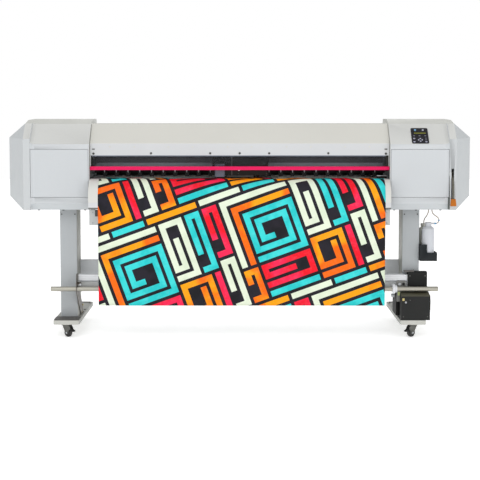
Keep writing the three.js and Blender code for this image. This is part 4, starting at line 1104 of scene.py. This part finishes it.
# ---------- Take-up unit ----------
def boss(name, place, normal, radius, height, material, body):
    """A round knob with a stepped face."""
    bm = bmesh.new()
    add_lathe(bm, [(0, -0.0005), (radius, -0.0005), (radius, height * 0.7), (radius * 0.86, height),
                   (radius * 0.45, height), (radius * 0.4, height * 0.75), (0, height * 0.75)],
              facing(place, normal), 24)
    return piece(name, bm, material, body, sharp=30)


rail_left, rail_right, rail_front, _, rail_bottom, rail_top = edges_mm("takeup_rail")
_, _, housing_front, _, _, _ = edges_mm("takeup_drive")
blocks("rail_end_cap", [(rail_right, rail_right + 1.6, rail_front + 2, 166, 280, rail_top - 2)], "aluminium", ROOT)
blocks("rail_grooves", [(rail_left + 2, rail_right - 2, rail_front - 0.3, rail_front + 0.6, z, z + 1.4)
                        for z in (329, 341)], "rail_grey", ROOT, 0.0002)
blocks("hub_plate", [(908, 957, 124, 129, 262, 318)], "dark_steel", ROOT)
boss("hub_boss", at(922, 124, 299), (0, -1, 0), 0.0092, 0.006, "steel", ROOT)
boss("latch_boss", at(945, 124, 300), (0, -1, 0), 0.0080, 0.004, "black_plastic", ROOT)
boss("bracket_knob", at(-917, 109, 299), (0, -1, 0), 0.0060, 0.006, "collar_white", ROOT)
blocks("sensor_plate", [(905.4, 924.6, 108, 118, 200, 258)], "dark_steel", ROOT)
blocks("sensor_sticker", [(910, 922, 106.8, 108.2, 236, 256)], "sticker_green", ROOT, 0.0004)
blocks("housing_sticker", [(931, 943, housing_front - 0.6, housing_front + 0.4, 212, 226)], "sticker_yellow", ROOT, 0.0004)
screws("housing_screw", [at(951, housing_front, 203)], (0, -1, 0), 0.0062, "steel", ROOT)
screws("housing_small_screws", [at(x, housing_front, z) for x, z in ((938, 120), (975, 216), (1076, 120))],
       (0, -1, 0), 0.003, "dark_steel", ROOT)
screws("motor_screws", [at(x, 118, z) for x, z in ((981, 348), (1068, 348))], (0, -1, 0), 0.0036, "dark_steel", ROOT)
blocks("motor_top_plate", [(948, 1004, 124, 160, 370.6, 375), (1001, 1004.5, 128, 133, 374.5, 385)], "bracket_brown", ROOT)
blocks("bracket_mark", [(-934.2, -933.4, 286, 306, 106, 112)], "sticker_yellow", ROOT, 0.0003)
boss("bracket_screw", at(-934, 322, 146), (1, 0, 0), 0.0050, 0.004, "sticker_yellow", ROOT)


# ---------- Bottles and roll ----------
def bottle_rings(node, material):
    """Moulded ridges round a bottle's body."""
    x0, x1, d0, d1, bottom, top = edges_mm(node)
    radius = (d1 - d0) / 2000
    centre = at(x0 + radius * 1000, (d0 + d1) / 2, bottom)
    bm = bmesh.new()
    for height in (0.060, 0.066, 0.150, 0.156):
        section = [(radius - 0.001, height), (radius + 0.0003, height + 0.0006), (radius + 0.0006, height + 0.0015),
                   (radius + 0.0003, height + 0.0024), (radius - 0.001, height + 0.003)]
        add_ring(bm, section, Matrix.Translation(centre), 36)
    piece(f"{node}_ridges", bm, material, ROOT)


bottle_rings("front_waste_bottle", "bottle_clear")
bottle_rings("rear_waste_bottle", "bottle_beige")
_, _, roll_d0, roll_d1, roll_z0, roll_z1 = edges_mm("media_roll")
holders = bmesh.new()
for x, way in ((-813.2, -1), (830.2, 1)):
    section = [(0.0102, 0), (0.066, 0), (0.068, 0.0015), (0.066, 0.0045), (0.022, 0.0045), (0.020, 0.0090),
               (0.0102, 0.0090)]
    add_ring(holders, section, facing(at(x, (roll_d0 + roll_d1) / 2, (roll_z0 + roll_z1) / 2), (way, 0, 0)), 40)
piece("roll_end_holders", holders, "dark_grey_plastic", "media_roll_body")
